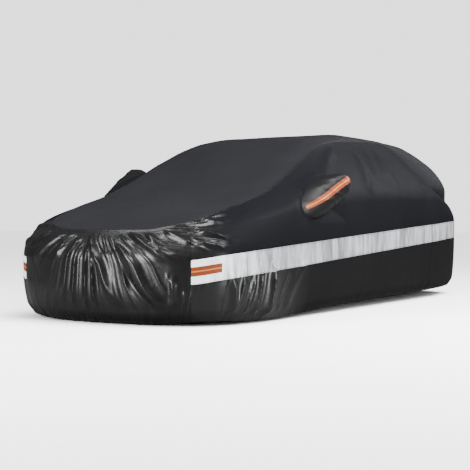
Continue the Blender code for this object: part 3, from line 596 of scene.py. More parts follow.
def fan_heights(signed, v, down, wall_height):
    """The fine ridges of the nose, which run out from one point."""
    height = np.zeros_like(down)
    edge_s, edge_v = FAN_EDGES
    for fan in FANS:
        angle, radius = around(signed, down, fan.s, fan.v * wall_height.min())
        beside = window(signed, fan.s - fan.reach, fan.s + fan.reach, edge_s)
        where = beside * window(v, fan.v0, fan.v1, edge_v)
        outward = radius / fan.length
        turn = FAN_WANDER * soft_noise(outward, angle * FAN_WANDER_WAVES, fan.seed + WANDER_SEED)
        shape = wrinkles(angle * fan.spokes + turn, outward, fan.seed)
        place = angle * fan.spokes * FAN_UNEVEN_WAVES
        uneven = FAN_SHARE + FAN_UNEVEN * soft_noise(place, outward, fan.seed + UNEVEN_SEED)
        height += fan.height * uneven * where * shape
    return height


def pleat_heights(signed, v):
    """Small pleats where the elastic gathers the hem."""
    pleat = PLEAT_HEIGHT + PLEAT_EXTRA_HEIGHT * (1 - window(np.abs(signed), *PLAIN_STRETCH))
    shape = wrinkles(signed / PLEAT_PITCH, v * 2, PLEAT_SEED)
    return pleat * shape * smooth_step((v - PLEAT_START) / (1 - PLEAT_START))


# ---------------------------------------------------------------- the cloth's surface


def mitre(first, second, thickness):
    """The way from the outer face to the inner, where two sheets of one thickness meet."""
    share = np.clip(1 + np.sum(first * second, axis=-1, keepdims=True), *MITRE_LIMITS)
    return -(first + second) / share * thickness


def seam_stretches(refine):
    """Distances of the seam's points, by stretch: front, left side, rear and right side."""
    front, rear = STATION_S[FRONT_CORNER], STATION_S[REAR_CORNER]
    crowned = STATIONS[FRONT_CORNER : REAR_CORNER + 1]
    crown = np.array([(0, st.crown_y, st.crown_z) for st in crowned])
    seam = np.array([(st.seam_x, st.seam_y, st.seam_z) for st in crowned])
    lengths = np.linalg.norm(np.diff(crown, axis=0), axis=1) + np.linalg.norm(np.diff(seam, axis=0), axis=1)
    run = np.concatenate([[0], np.cumsum(lengths)])
    even = np.linspace(0, run[-1], CELLS_ALONG_SIDE * refine + 1)
    left = smooth_curve(run, STATION_S[FRONT_CORNER : REAR_CORNER + 1], even)
    across = split_evenly(ACROSS, refine)
    return {
        "front": front * across,
        "left": left,
        "rear": HALF_GIRTH + (HALF_GIRTH - rear) * across,
        "right": 2 * HALF_GIRTH - left[::-1],
    }


def wall_columns(refine):
    """Distances of every wall column by stretch, finer at the nose and over the fenders."""
    seam = seam_stretches(refine)
    fender, rest = np.split(seam["left"], [FENDER_CELLS * refine])
    left = np.concatenate([split_evenly(np.append(fender, rest[0]), FENDER_SPLIT)[:-1], rest])
    return {
        "front": split_evenly(seam["front"], NOSE_SPLIT),
        "left": left,
        "rear": seam["rear"],
        "right": 2 * HALF_GIRTH - left[::-1],
    }


def spanned(first_row, last_row, first_column, last_column, f, g):
    """A grid between its four border lines. f runs from 0 to 1 along the rows, and g down the columns."""
    f, g = f[None, :, None], g[:, None, None]
    rows = first_row[None] * (1 - g) + last_row[None] * g
    columns = first_column[:, None] * (1 - f) + last_column[:, None] * f
    first_corners = first_row[0] * (1 - g) * (1 - f) + first_row[-1] * (1 - g) * f
    return rows + columns - (first_corners + last_row[0] * g * (1 - f) + last_row[-1] * g * f)


def top_panel_points(refine):
    """The top panel's grid: rows from nose to tail, columns from the right side to the left."""
    stretches = seam_stretches(refine)
    seam = {name: wall_lines(s)[0] for name, s in stretches.items()}
    aside = split_evenly(ACROSS, refine)
    down = np.linspace(0, 1, len(seam["left"]))
    borders = seam["front"], seam["rear"][::-1], seam["right"][::-1], seam["left"]
    points = spanned(*borders, (aside + 1) / 2, down)
    crowned = STATIONS[FRONT_CORNER : REAR_CORNER + 1]
    table = [(0.0, st.crown_y, st.crown_z, st.dome, st.wrap, st.spread) for st in crowned]
    rows = smooth_curve(STATION_S[FRONT_CORNER : REAR_CORNER + 1], table, stretches["left"])
    crown, dome, wrap, spread = np.split(rows, (3, 4, 5), axis=1)
    lift = crown - points[:, points.shape[1] // 2]
    points[:, :, 1] += lift[:, 1:2] * (1 - np.abs(aside) ** wrap)
    points[:, :, 2] += lift[:, 2:3] * (1 - np.abs(aside) ** dome)
    points[:, :, 0] += seam["left"][:, :1] * spread * aside * (1 - aside**SPREAD_POWER)
    return points


def running_length(points, axis):
    """Distance along the rows or columns of a grid, from its first point."""
    steps = np.linalg.norm(np.diff(points, axis=axis), axis=2)
    return np.insert(np.cumsum(steps, axis=axis), 0, 0.0, axis=axis)


Sheet = namedtuple("Sheet", "outer inward normals s down")


class Cover:
    """Every point of the cover, and the inward step at each, shared by the pieces that meet there."""

    def __init__(self, sizes):
        self.sizes = sizes
        self.refine = refine = sizes.refine
        stretches = wall_columns(refine)
        upper = np.linspace(SEAM_LINE, STRIP_TOP_LINE, CELLS_DOWN_UPPER * refine + 1)
        strip = np.linspace(STRIP_TOP_LINE, STRIP_BOTTOM_LINE, CELLS_DOWN_STRIP * refine + 1)
        skirt = np.linspace(STRIP_BOTTOM_LINE, HEM_LINE, CELLS_DOWN_SKIRT * refine + 1)
        self.v = np.concatenate([upper, strip[1:], skirt[1:]])
        self.strip_top = CELLS_DOWN_UPPER * refine
        self.strip_bottom = (CELLS_DOWN_UPPER + CELLS_DOWN_STRIP) * refine
        self.last_row = len(self.v) - 1
        self.s = np.concatenate([s[:-1] for s in stretches.values()])
        counts = np.cumsum([0] + [len(s) - 1 for s in stretches.values()])
        self.span = dict(zip(stretches, zip(counts[:-1], counts[1:])))
        knots = (SEAM_LINE, SHOULDER_LINE, STRIP_TOP_LINE, STRIP_BOTTOM_LINE, TUCK_LINE, HEM_LINE)
        base = smooth_curve(knots, wall_lines(self.s), self.v)
        self.down = running_length(base, 0)
        self.signed = signed = np.broadcast_to(signed_distance(self.s), self.down.shape)
        height = self.down[-1]
        v = np.broadcast_to(self.v[:, None], self.down.shape)
        flat_down = v * height
        fine = line_heights(CREASES, signed, flat_down, height, CREST_WIDTH)
        fine += crumple_heights(signed, v, flat_down) + fan_heights(signed, v, flat_down, height)
        fine += pleat_heights(signed, v)
        folds = line_heights(FOLDS, signed, flat_down, height) + fine * sizes.crease_gain
        folds *= smooth_step(v / SEAM_FADE)
        self.wall = base + grid_normals(base, closed=True) * folds[..., None]
        self.top = top_panel_points(refine)
        self.join_seam()
        self.origin = self.roof_rest()

    def seam_points(self):
        """Wall columns that meet a point of the top panel's edge, with that point's row and column."""
        last_row, last_column = self.top.shape[0] - 1, self.top.shape[1] - 1
        fender = FENDER_CELLS * self.refine
        pairs = []

        def split(k):
            """Wall columns before the top panel's point k, counted from the front of a side."""
            return k * FENDER_SPLIT if k < fender else k + fender * (FENDER_SPLIT - 1)

        for i in range(last_column):
            pairs.append((self.span["front"][0] + i * NOSE_SPLIT, 0, i))
            pairs.append((self.span["rear"][0] + i, last_row, last_column - i))
        for i in range(last_row):
            j = last_row - i
            pairs.append((self.span["left"][0] + split(i), i, last_column))
            pairs.append((self.span["right"][1] - split(j), j, 0))
        return sorted(pairs)

    def join_seam(self):
        """Inward steps, mitred along the seam, with the finer wall columns on the seam's straight chords."""
        thickness = self.sizes.cloth_thickness
        normals = grid_normals(self.wall, closed=True)
        self.top_normals = -grid_normals(self.top)
        self.wall_in = -normals * thickness
        self.top_in = -self.top_normals * thickness
        pairs = self.seam_points()
        for column, row, across in pairs:
            step = mitre(normals[0, column], self.top_normals[row, across], thickness)
            self.wall_in[0, column] = self.top_in[row, across] = step
            self.wall[0, column] = self.top[row, across]
        count = len(self.s)
        for (here, *_), (after, *_) in zip(pairs, pairs[1:] + pairs[:1]):
            gap = (after - here) % count
            for k in range(1, gap):
                f = k / gap
                for points in (self.wall, self.wall_in):
                    points[0, here + k] = points[0, here] * (1 - f) + points[0, after % count] * f
        self.normals = normals

    def wall_sheet(self, stretch, first_row, last_row, from_front=False):
        """One stretch of wall between two rows, its columns running round the cover or from nose to tail."""
        start, stop = self.span[stretch]
        columns = np.arange(start, stop + 1) % len(self.s)
        if from_front and stretch == "right":
            columns = columns[::-1]
        rows = slice(first_row, last_row + 1)
        grids = (self.wall, self.wall_in, self.normals, self.signed, self.down)
        return Sheet(*(grid[rows][:, columns] for grid in grids))

    def roof_rest(self):
        """The frame's origin in the tables' terms: under the cloth at the top of the roof."""
        middle_column = self.top.shape[1] // 2
        middle = self.top[:, middle_column]
        coarse = np.arange(0, len(middle), self.refine)
        rest = coarse[int(np.argmin(np.abs(middle[coarse, 1] - ROOF_REST_Y)))]
        return middle[rest] + self.top_in[rest, middle_column]


@cache
def cover():
    """The cover's surface, worked out once."""
    return Cover(bpy.context.scene.cover_sizes)


def trim(outer, inward, sewn):
    """The grid with each sewn border pulled back by half the seam gap, square to its cut face."""
    borders = {
        "top": (np.s_[0, :], outer[1] - outer[0]),
        "bottom": (np.s_[-1, :], outer[-2] - outer[-1]),
        "start": (np.s_[:, 0], outer[:, 1] - outer[:, 0]),
        "end": (np.s_[:, -1], outer[:, -2] - outer[:, -1]),
    }
    back = np.zeros_like(outer)
    for name in sewn:
        where, inside = borders[name]
        square = unit(np.cross(np.gradient(outer[where], axis=0), inward[where]))
        square *= np.sign(np.sum(square * inside, axis=1, keepdims=True))
        share = np.clip(1 + np.sum(back[where] * square, axis=1, keepdims=True), *MITRE_LIMITS)
        back[where] = (back[where] + square) / share
    return outer + back * bpy.context.scene.cover_sizes.seam_gap / 2


def edge_distance(points, sewn):
    """Distance over the cloth to the nearest sewn border."""
    across, down = running_length(points, 1), running_length(points, 0)
    reach = {"top": down, "bottom": down[-1:] - down, "start": across, "end": across[:, -1:] - across}
    return np.min([reach[name] for name in sewn], axis=0)


# ---------------------------------------------------------------- meshes


def add_object(name, data):
    """A new object in the scene."""
    obj = bpy.data.objects.new(name, data)
    bpy.context.scene.collection.objects.link(obj)
    return obj


def sheet_mesh(name, outer, inward, uvs, attributes, hole=None):
    """A closed sheet from a grid of outer points, with a rim along every free edge, as a new object."""
    rows, columns = outer.shape[:2]
    index = np.arange(rows * columns).reshape(rows, columns)
    quads = np.stack([index[:-1, :-1], index[1:, :-1], index[1:, 1:], index[:-1, 1:]], axis=-1)
    kept = np.ones(quads.shape[:2], bool)
    if hole:
        kept[hole[0] : hole[1], hole[2] : hole[3]] = False
    quads = quads[kept]
    flat, steps = (outer - cover().origin).reshape(-1, 3), inward.reshape(-1, 3)
    facing = np.cross(flat[quads[:, 2]] - flat[quads[:, 0]], flat[quads[:, 3]] - flat[quads[:, 1]])
    if np.sum(facing * steps[quads[:, 0]]) > 0:
        quads = quads[:, ::-1]
    starts, ends = quads.ravel(), np.roll(quads, -1, axis=1).ravel()
    count = rows * columns
    forward, backward = starts * count + ends, ends * count + starts
    free = ~np.isin(forward, backward)
    a, b = starts[free], ends[free]
    faces = np.concatenate([quads, quads[:, ::-1] + count, np.stack([b, a, a + count, b + count], axis=1)])
    used = np.unique(faces)
    place = np.full(2 * count, -1)
    place[used] = np.arange(len(used))
    points = np.concatenate([flat, flat + steps])[used]
    data = bpy.data.meshes.new(name)
    data.from_pydata(points, [], place[faces])
    data.update()
    corners = used[place[faces].ravel()] % count
    for layer, grid in uvs.items():
        data.uv_layers.new(name=layer).uv.foreach_set("vector", grid.reshape(-1, 2)[corners].ravel())
    for layer, grid in attributes.items():
        attribute = data.attributes.new(layer, "FLOAT", "POINT")
        attribute.data.foreach_set("value", grid.ravel()[used % count].astype(np.float32))
    data.shade_smooth()
    data.set_sharp_from_angle(angle=HARD_EDGE)
    return add_object(name, data)


# Coordinates for the fine crinkles: over the nose they run out from a point, and along the sides they lean
FAN_APEX = (-0.05, -0.09)
FAN_WIDTH = 0.55
SIDE_LEAN = np.radians(50.0)
FAN_TO_SIDE = (0.40, 0.75)

# Where along the flank the gloss of the crumpled nose
# fades out, above the strip and below it, and what is left
GLOSS_FADE_UPPER = (0.74, 0.94)
GLOSS_FADE_SKIRT = (1.25, 1.85)
SKIRT_GLOSS_LEFT = 0.08


def fade(x, start, end):
    """From 0 to 1 between two places."""
    return smooth_step((x - start) / (end - start))


def fold_coordinates(signed, down):
    """Coordinates that run with the folds, for the fine crinkles: across them and along them, in metres."""
    apex_s, apex_down = FAN_APEX
    angle, radius = around(np.abs(signed - apex_s), down, 0.0, apex_down)
    side_across, side_along = leaning(np.abs(signed), down, SIDE_LEAN)
    turn = fade(np.abs(signed), *FAN_TO_SIDE)
    across = angle * FAN_WIDTH * (1 - turn) + side_across * turn
    along = radius * (1 - turn) + side_along * turn
    return np.stack([across, along], axis=-1)


def gloss_of(signed, v):
    """How glossy and crumpled the cloth is: fully over the nose, fading along the sides."""
    reach = np.abs(signed)
    upper = 1 - fade(reach, *GLOSS_FADE_UPPER)
    skirt = 1 - (1 - SKIRT_GLOSS_LEFT) * fade(reach, *GLOSS_FADE_SKIRT)
    low = fade(v, STRIP_TOP_LINE, STRIP_BOTTOM_LINE)
    return upper * (1 - low) + skirt * low


def dress(obj, material, node):
    """Gives a piece its material, hangs it from the root body and hides the part of the same name from
    model.glb.
    """
    obj.data.materials.append(material)
    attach(obj, "root")
    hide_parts(node)


ALL_ROUND = ("top", "bottom", "start", "end")
ABOVE_HEM = ("top", "start", "end")


def add_sheet(name, kind, sheet, sewn, finish, first_row=0, hole=None, trimmed=None):
    """A cloth piece from a part of the wall, sewn along the named borders."""
    outer = trim(sheet.outer, sheet.inward, sewn) if trimmed is None else trimmed
    v = cover().v[first_row : first_row + len(outer), None]
    gloss = gloss_of(sheet.s, np.broadcast_to(v, sheet.s.shape))
    attributes = {"edge": edge_distance(sheet.outer, sewn), "gloss": gloss}
    cloth = np.stack([sheet.s, -sheet.down], axis=-1)
    uvs = {"Cloth": cloth, "Folds": fold_coordinates(sheet.s, sheet.down)}
    obj = sheet_mesh(f"cloth_{name}", outer, sheet.inward, uvs, attributes, hole)
    dress(obj, cloth_material(finish), name)


# ---------------------------------------------------------------- finishes


class Nodes:
    """Short calls for building one material's nodes. Each gives an output socket."""

    def __init__(self, name):
        self.material = bpy.data.materials.new(name)
        self.material.use_nodes = True
        self.tree = self.material.node_tree

    def feed(self, socket, value):
        """A link or a constant into a socket."""
        if isinstance(value, bpy.types.NodeSocket):
            self.tree.links.new(value, socket)
        else:
            socket.default_value = value

    def add(self, kind, *values, output=None, named=None, **settings):
        """A node with its settings, and values for its sockets in their order or by name."""
        node = self.tree.nodes.new(kind)
        for name, setting in settings.items():
            setattr(node, name, setting)
        for socket, value in zip([socket for socket in node.inputs if socket.enabled], values):
            self.feed(socket, value)
        for name, value in (named or {}).items():
            self.feed(node.inputs[name], value)
        return node.outputs[output] if output else next(socket for socket in node.outputs if socket.enabled)

    def uv(self, layer, across=1.0, along=1.0):
        """Coordinates of a UV map, scaled."""
        source = self.add("ShaderNodeUVMap", uv_map=layer)
        return self.add("ShaderNodeMapping", source, named={"Scale": (across, along, 1.0)})

    def noise(self, layer, grain):
        """Uneven noise over a UV map."""
        place = self.uv(layer, grain.across, grain.along)
        return self.add("ShaderNodeTexNoise", place, 1.0, grain.detail, grain.roughness)

    def yarns(self, way):
        """The yarns of the weave that lie one beside another along X or Y."""
        bands = {"wave_type": "BANDS", "bands_direction": way}
        return self.add("ShaderNodeTexWave", self.uv("Cloth"), WEAVE_SCALE, output="Fac", **bands)

    def math(self, operation, *values, **settings):
        """A sum, product or other operation."""
        return self.add("ShaderNodeMath", *values, operation=operation, **settings)

    def spread(self, value, low, high, to_low=0.0, to_high=1.0):
        """A value carried from one range to another."""
        return self.add("ShaderNodeMapRange", value, low, high, to_low, to_high)

    def mix(self, factor, first, second):
        """One colour mixed into another."""
        return self.add("ShaderNodeMix", factor, first, second, data_type="RGBA")

    def bump(self, height, distance, below=None, strength=1.0):
        """A bump from a height, on top of another."""
        sockets = {"Height": height, "Distance": distance, "Strength": strength}
        if below is not None:
            sockets["Normal"] = below
        return self.add("ShaderNodeBump", named=sockets)

    def finish(self, **sockets):
        """The material, once the shader's own sockets are fed."""
        shader = self.tree.nodes["Principled BSDF"]
        for name, value in sockets.items():
            self.feed(shader.inputs[name.replace("_", " ")], value)
        return self.material


Finish = namedtuple("Finish", "colour rough_matte rough_glossy crinkle specular coat streaks")

# One row for each kind of cloth: its colour, its roughness where it is matte
# and where it is glossy, the height of its fine crinkles, its specular
# level, the weight of its coat where it is glossy, and how strongly painted shade darkens its streaks
FINISHES = {
    "matte": Finish("matte", 0.70, 0.60, 0.0002, 0.06, 0.0, 0.0),
    "glossy": Finish("glossy", 0.50, 0.30, 0.0008, 0.25, 0.0, 0.0),
    "skirt": Finish("glossy", 0.70, 0.40, 0.0014, 0.02, 0.7, 0.0),
    "side": Finish("side", 0.58, 0.40, 0.0014, 0.02, 0.7, 0.0),
    "pocket": Finish("glossy", 0.55, 0.42, 0.0014, 0.10, 0.0, 0.0),
    "silver": Finish("silver", 0.42, 0.36, 0.0020, 0.50, 0.0, 0.95),
}
COAT_ROUGHNESS = 0.30

Grain = namedtuple("Grain", "across along detail roughness")

# Uneven patterns: how many waves to the metre across and along the cloth, and how broken up they are
BLOTCHES = Grain(2.2, 2.2, 3.0, 0.5)
SPECKS = Grain(26.0, 26.0, 4.0, 0.6)
CRINKLES = Grain(26.0, 5.0, 5.0, 0.55)
STREAKS = Grain(13.0, 2.0, 4.0, 0.65)
TAPE_GRAIN = Grain(60.0, 60.0, 3.0, 0.5)
TAPE_WRINKLES = Grain(9.0, 1.2, 3.0, 0.5)

# The part of a noise's range that is carried from 0 to 1, for broad patterns and for fine ones
BROAD_RANGE = (0.35, 0.65)
FINE_RANGE = (0.3, 0.7)

# Shares of the cloth's colour in its blotches, and how its roughness wanders
BLOTCH_SHADES = (0.94, 1.06)
ROUGHNESS_WANDER = (-0.04, 0.05)

# Share of the crinkles that is left where the cloth is matte
FLAT_CRINKLES = 0.06

# The lap beside a seam: where it ends, how dark the painted shade along it is and how far that shade shows,
# and its height
LAP_END = (0.010, 0.013)
SEAM_PAINTED_SHADE = 0.5
LAP_SHARE = 0.35
LAP_HEIGHT = 0.0004

WEAVE_SCALE = 240.0
WEAVE_HEIGHT = 0.00005
WEAVE_STRENGTH = 0.5

# The silver strip's front end carries a painted highlight, and the painted shade of its dark
# streaks, standing in for the shade in its wrinkles, grows behind that. Places are metres along it.
PAINTED_HIGHLIGHT_END = (0.75, 1.25)
PAINTED_HIGHLIGHT_SHARE = 3.0
STREAK_START = (0.8, 1.05)
STREAK_LEAST = 0.15
STREAK_RANGE = (0.42, 0.62)
PAINTED_STREAK_SHADE = 0.35
STREAK_HEIGHT = 0.008

# Tape: half widths of its pale line, as shares of its
# width, its roughness there and beside it, and its wrinkles
TAPE_LINE = (0.03, 0.09)
TAPE_LINE_ROUGHNESS = 0.45
TAPE_ROUGHNESS = 0.65
TAPE_SHADE = 0.85
TAPE_WRINKLE_HEIGHT = 0.0015
TAPE_SPECULAR = 0.2

THREAD_TWIST = 900.0
THREAD_SHADES = (0.7, 1.3)
THREAD_ROUGHNESS = (0.5, 0.7)


def shade(colour, share=1.0):
    """A colour of four values, made lighter or darker."""
    return (*(min(channel * share, 1.0) for channel in colour), 1.0)


def silver_painted_light(n, tint, colour, streaks, streak):
    """The strip's tint with a painted highlight at its bright front end and painted shade along its wrinkle
    streaks.
    """
    along = n.add("ShaderNodeSeparateXYZ", n.uv("Cloth"), output="X")
    reach = n.math("ABSOLUTE", along)
    # Painted highlight: the strip's colour is made brighter towards its front end
    tint = n.mix(n.spread(reach, *PAINTED_HIGHLIGHT_END, 1.0, 0.0), tint, shade(colour, PAINTED_HIGHLIGHT_SHARE))
    # Painted shade: the strip darkens along its streaks, where its wrinkles would be shaded, more so behind
    # its front end
    rising = n.spread(reach, *STREAK_START, STREAK_LEAST, 1.0)
    painted_streak_shade = n.math("MULTIPLY", n.spread(streak, *STREAK_RANGE), rising)
    return n.mix(n.math("MULTIPLY", painted_streak_shade, streaks), tint, shade(colour, PAINTED_STREAK_SHADE))


@cache
def cloth_material(name):
    """The finish of one kind of cloth: weave, crinkles along its folds, seam laps with painted shade beside
    them, uneven gloss, and on the silver strip a painted highlight and painted streak shade.
    """
    finish = FINISHES[name]
    colours = bpy.context.scene.cover_colours
    colour = getattr(colours, finish.colour)
    n = Nodes(name)
    gloss = n.add("ShaderNodeAttribute", attribute_name="gloss", output="Fac")
    edge = n.add("ShaderNodeAttribute", attribute_name="edge", output="Fac")
    blotches = n.spread(n.noise("Cloth", BLOTCHES), *BROAD_RANGE)
    tint = n.mix(blotches, *(shade(colour, share) for share in BLOTCH_SHADES))
    # Painted shade: the cloth darkens within about a centimetre of each seam, where the groove of its lap
    # would be shaded; the same mask also bumps the lap
    lap = n.spread(edge, *LAP_END, 1.0, 0.0)
    tint = n.mix(n.math("MULTIPLY", lap, LAP_SHARE), tint, shade(colour, SEAM_PAINTED_SHADE))
    crinkle = n.math("MULTIPLY", n.noise("Folds", CRINKLES), n.spread(gloss, 0.0, 1.0, FLAT_CRINKLES, 1.0))
    normal = n.bump(crinkle, finish.crinkle)
    normal = n.bump(n.math("MULTIPLY", n.yarns("X"), n.yarns("Y")), WEAVE_HEIGHT, normal, WEAVE_STRENGTH)
    normal = n.bump(lap, LAP_HEIGHT, normal)
    if name == "side":
        tint = n.mix(gloss, tint, shade(colours.glossy))
    # On the silver strip one noise bumps its wrinkles and also paints shade along them, and its front end
    # gets a painted highlight
    if finish.streaks:
        streak = n.noise("Cloth", STREAKS)
        tint = silver_painted_light(n, tint, colour, finish.streaks, streak)
        normal = n.bump(streak, STREAK_HEIGHT, normal)
    rough = n.spread(gloss, 0.0, 1.0, finish.rough_matte, finish.rough_glossy)
    wander = n.spread(n.noise("Cloth", SPECKS), *FINE_RANGE, *ROUGHNESS_WANDER)
    return n.finish(
        Base_Color=tint,
        Roughness=n.math("ADD", rough, wander, use_clamp=True),
        Normal=normal,
        Specular_IOR_Level=finish.specular,
        Coat_Weight=n.math("MULTIPLY", gloss, finish.coat) if finish.coat else 0.0,
        Coat_Roughness=COAT_ROUGHNESS,
        Coat_Normal=normal,
    )


@cache
def tape_material():
    """Orange tape with a pale line along its middle. The tape's UV map runs from 0 to 1 across it."""
    colours = bpy.context.scene.cover_colours
    n = Nodes("tape")
    across = n.add("ShaderNodeSeparateXYZ", n.uv("Tape"), output="Y")
    line = n.spread(n.math("ABSOLUTE", n.math("SUBTRACT", across, 0.5)), *TAPE_LINE, 1.0, 0.0)
    grain = n.spread(n.noise("Tape", TAPE_GRAIN), *FINE_RANGE)
    orange = n.mix(grain, shade(colours.orange, TAPE_SHADE), shade(colours.orange))
    return n.finish(
        Base_Color=n.mix(line, orange, shade(colours.pale)),
        Roughness=n.spread(line, 0.0, 1.0, TAPE_ROUGHNESS, TAPE_LINE_ROUGHNESS),
        Normal=n.bump(n.noise("Tape", TAPE_WRINKLES), TAPE_WRINKLE_HEIGHT),
        Specular_IOR_Level=TAPE_SPECULAR,
    )


def thread_material():
    """Dark sewing thread with a fine twist."""
    n = Nodes("thread")
    place = n.add("ShaderNodeTexCoord", output="Object")
    grain = n.add("ShaderNodeTexNoise", place, THREAD_TWIST, 2.0)
    colour = bpy.context.scene.cover_colours.thread
    tint = n.mix(grain, *(shade(colour, share) for share in THREAD_SHADES))
    return n.finish(Base_Color=tint, Roughness=n.spread(grain, *FINE_RANGE, *THREAD_ROUGHNESS))


# ---------------------------------------------------------------- pockets, tapes and patches

# The pouch's slack: height of its wrinkles, how many lie along and across
# it and how they slant, and how flat they stay towards its ends and sides
SLACK_HEIGHT = 0.006
SLACK_WAVES = (5.0, 1.5)
SLACK_RUN = 1.3
SLACK_POWERS = (6, 4)
SLACK_SEED = 51


def pocket_loop(top, first_column, rows, columns):
    """Grid places round the pocket's hole: along the bottom, up, back over the top and down."""
    bottom, rear = top + rows, first_column + columns
    loop = [(bottom, c) for c in range(first_column, rear)]
    loop += [(r, rear) for r in range(bottom, top, -1)]
    loop += [(top, c) for c in range(rear, first_column, -1)]
    return loop + [(r, first_column) for r in range(top, bottom)]


def leaf_outline(corners, diagonal_place):
    """The hole's outline: a leaf tilted up to the rear, inside the cells that the pocket takes."""
    centre = corners.mean(axis=0)
    back = np.array([0.0, 1.0, 0.0])
    outward = unit(np.cross(back, corners[diagonal_place] - corners[0]) * np.sign(centre[0]))
    outward *= np.sign(outward[0] * centre[0])
    up = np.cross(outward, back) * np.sign(centre[0])
    away = corners - centre
    angle = np.arctan2(away @ up, away @ back)
    along, across = np.cos(angle - POCKET_TILT), np.sin(angle - POCKET_TILT)
    reach = 1 / np.hypot(along / POCKET_HALF_LENGTH, across / POCKET_HALF_HEIGHT)
    flat = centre + reach[:, None] * (np.cos(angle)[:, None] * back + np.sin(angle)[:, None] * up)
    return flat, outward


def border_chords(loop, first, cells, fractions):
    """Points along several chords of a loop, from its point first, at fractions 0 to 1 of the way."""
    places = fractions * cells
    i = np.minimum(places.astype(int), cells - 1)
    f = (places - i)[:, None]
    a, b = loop[(first + i) % len(loop)], loop[(first + i + 1) % len(loop)]
    return a * (1 - f) + b * f


def filled_patch(loop, p, q, long, short, turn):
    """A grid that fills a loop of points, turned so that its middle rows climb to the rear."""
    f, g = (p + 1) / 2, (q + 1) / 2
    bottom = border_chords(loop, turn, long, f)
    rear = border_chords(loop, turn + long, short, g)
    top = border_chords(loop, turn + long + short, long, 1 - f)
    front = border_chords(loop, turn + 2 * long + short, short, 1 - g)
    return spanned(bottom, top, front, rear, f, g)


def pouch_points(leaf, outward, p, q):
    """The pouch over its leaf: flat to the front, deepest behind its middle and round at the rear."""
    p, q = p[None, :], q[:, None]
    front = np.clip((p + 1) / (POCKET_DEEPEST + 1), 0, 1) ** POCKET_FRONT_POWER
    rear = np.sqrt(np.clip(1 - ((p - POCKET_DEEPEST) / (1 - POCKET_DEEPEST)) ** 2, 0, 1))
    bulge = np.where(p < POCKET_DEEPEST, front, rear) * np.sqrt(np.clip(1 - q**2, 0, 1))
    tip = outward * POCKET_DEPTH + np.array([0.0, POCKET_SWEEP_BACK, 0.0])
    pouch = leaf + bulge[..., None] * tip
    normals = grid_normals(pouch)
    normals *= np.sign(np.sum(normals, axis=(0, 1)) @ outward)
    slack = wrinkles(p * SLACK_WAVES[0] + q * SLACK_WAVES[1], q * SLACK_RUN + p, SLACK_SEED)
    slack = SLACK_HEIGHT * slack * (1 - q ** SLACK_POWERS[1]) * (1 - p ** SLACK_POWERS[0])
    return pouch + normals * slack[..., None], normals


Pouch = namedtuple("Pouch", "sheet hole upper points steps normals")


@cache
def pocket_parts(stretch):
    """The upper panel with its hole drawn to a leaf, and the pouch that is sewn into it."""
    source = cover()
    refine, thickness = source.refine, source.sizes.cloth_thickness
    sheet = source.wall_sheet(stretch, 0, source.strip_top, from_front=True)
    outer, inward = sheet.outer, sheet.inward
    top = POCKET_ROW[stretch] * refine
    rows, columns = POCKET_ROWS * refine, POCKET_COLUMNS * refine
    coarse = np.arange(0, outer.shape[1], refine)
    first = int(coarse[np.argmin(np.abs(outer[top + refine, coarse, 1] - POCKET_FRONT_Y))])
    loop = pocket_loop(top, first, rows, columns)
    places = tuple(np.array(loop).T)
    leaf, outward = leaf_outline(outer[places], rows + columns)
    r, c = np.indices(outer.shape[:2])
    near_r, near_c = np.clip(r, top, top + rows), np.clip(c, first, first + columns)
    off = np.maximum(np.abs(r - near_r), np.abs(c - near_c)) / refine
    shift = np.zeros_like(outer)
    shift[places] = leaf - outer[places]
    drawn = outer + shift[near_r, near_c] * (smooth_step(1 - off) * (off > 0))[..., None]
    drawn[places] = leaf

    p, q = split_evenly(POCKET_P, refine), split_evenly(POCKET_Q, refine)
    fill = lambda values: filled_patch(values, p, q, columns, rows, refine)
    pouch, normals = pouch_points(fill(leaf), outward, p, q)
    steps = -normals * thickness
    chord = np.roll(leaf, -1, axis=0) - np.roll(leaf, 1, axis=0)
    away = unit(np.cross(chord, outward))
    away *= np.sign(np.sum(away * (leaf - leaf.mean(axis=0)), axis=1, keepdims=True))
    rim = -(outward + away) * thickness
    away = unit(away - outward) * source.sizes.seam_gap / 2
    edge = np.zeros(steps.shape[:2], bool)
    edge[[0, -1], :] = edge[:, [0, -1]] = True
    steps[edge] = fill(rim)[edge]
    pouch[edge] -= fill(away)[edge]
    upper = trim(drawn, inward, ALL_ROUND)
    upper[places] = leaf + away
    inward[places] = rim
    return Pouch(sheet, (top, top + rows, first, first + columns), upper, pouch, steps, normals)


def add_tape(name, seat, normals):
    """A thin tape on a grid of points: rows across it, columns along it."""
    sizes = bpy.context.scene.cover_sizes
    face = seat + normals * (sizes.seam_gap + sizes.tape_thickness)
    along, across = running_length(seat, 1), running_length(seat, 0)
    uvs = {"Tape": np.stack([along / TAPE_WIDTH, across / across[-1:].clip(TINY)], axis=-1)}
    obj = sheet_mesh(f"cloth_{name}", face, -normals * sizes.tape_thickness, uvs, {})
    dress(obj, tape_material(), name)


# ---------------------------------------------------------------- operators


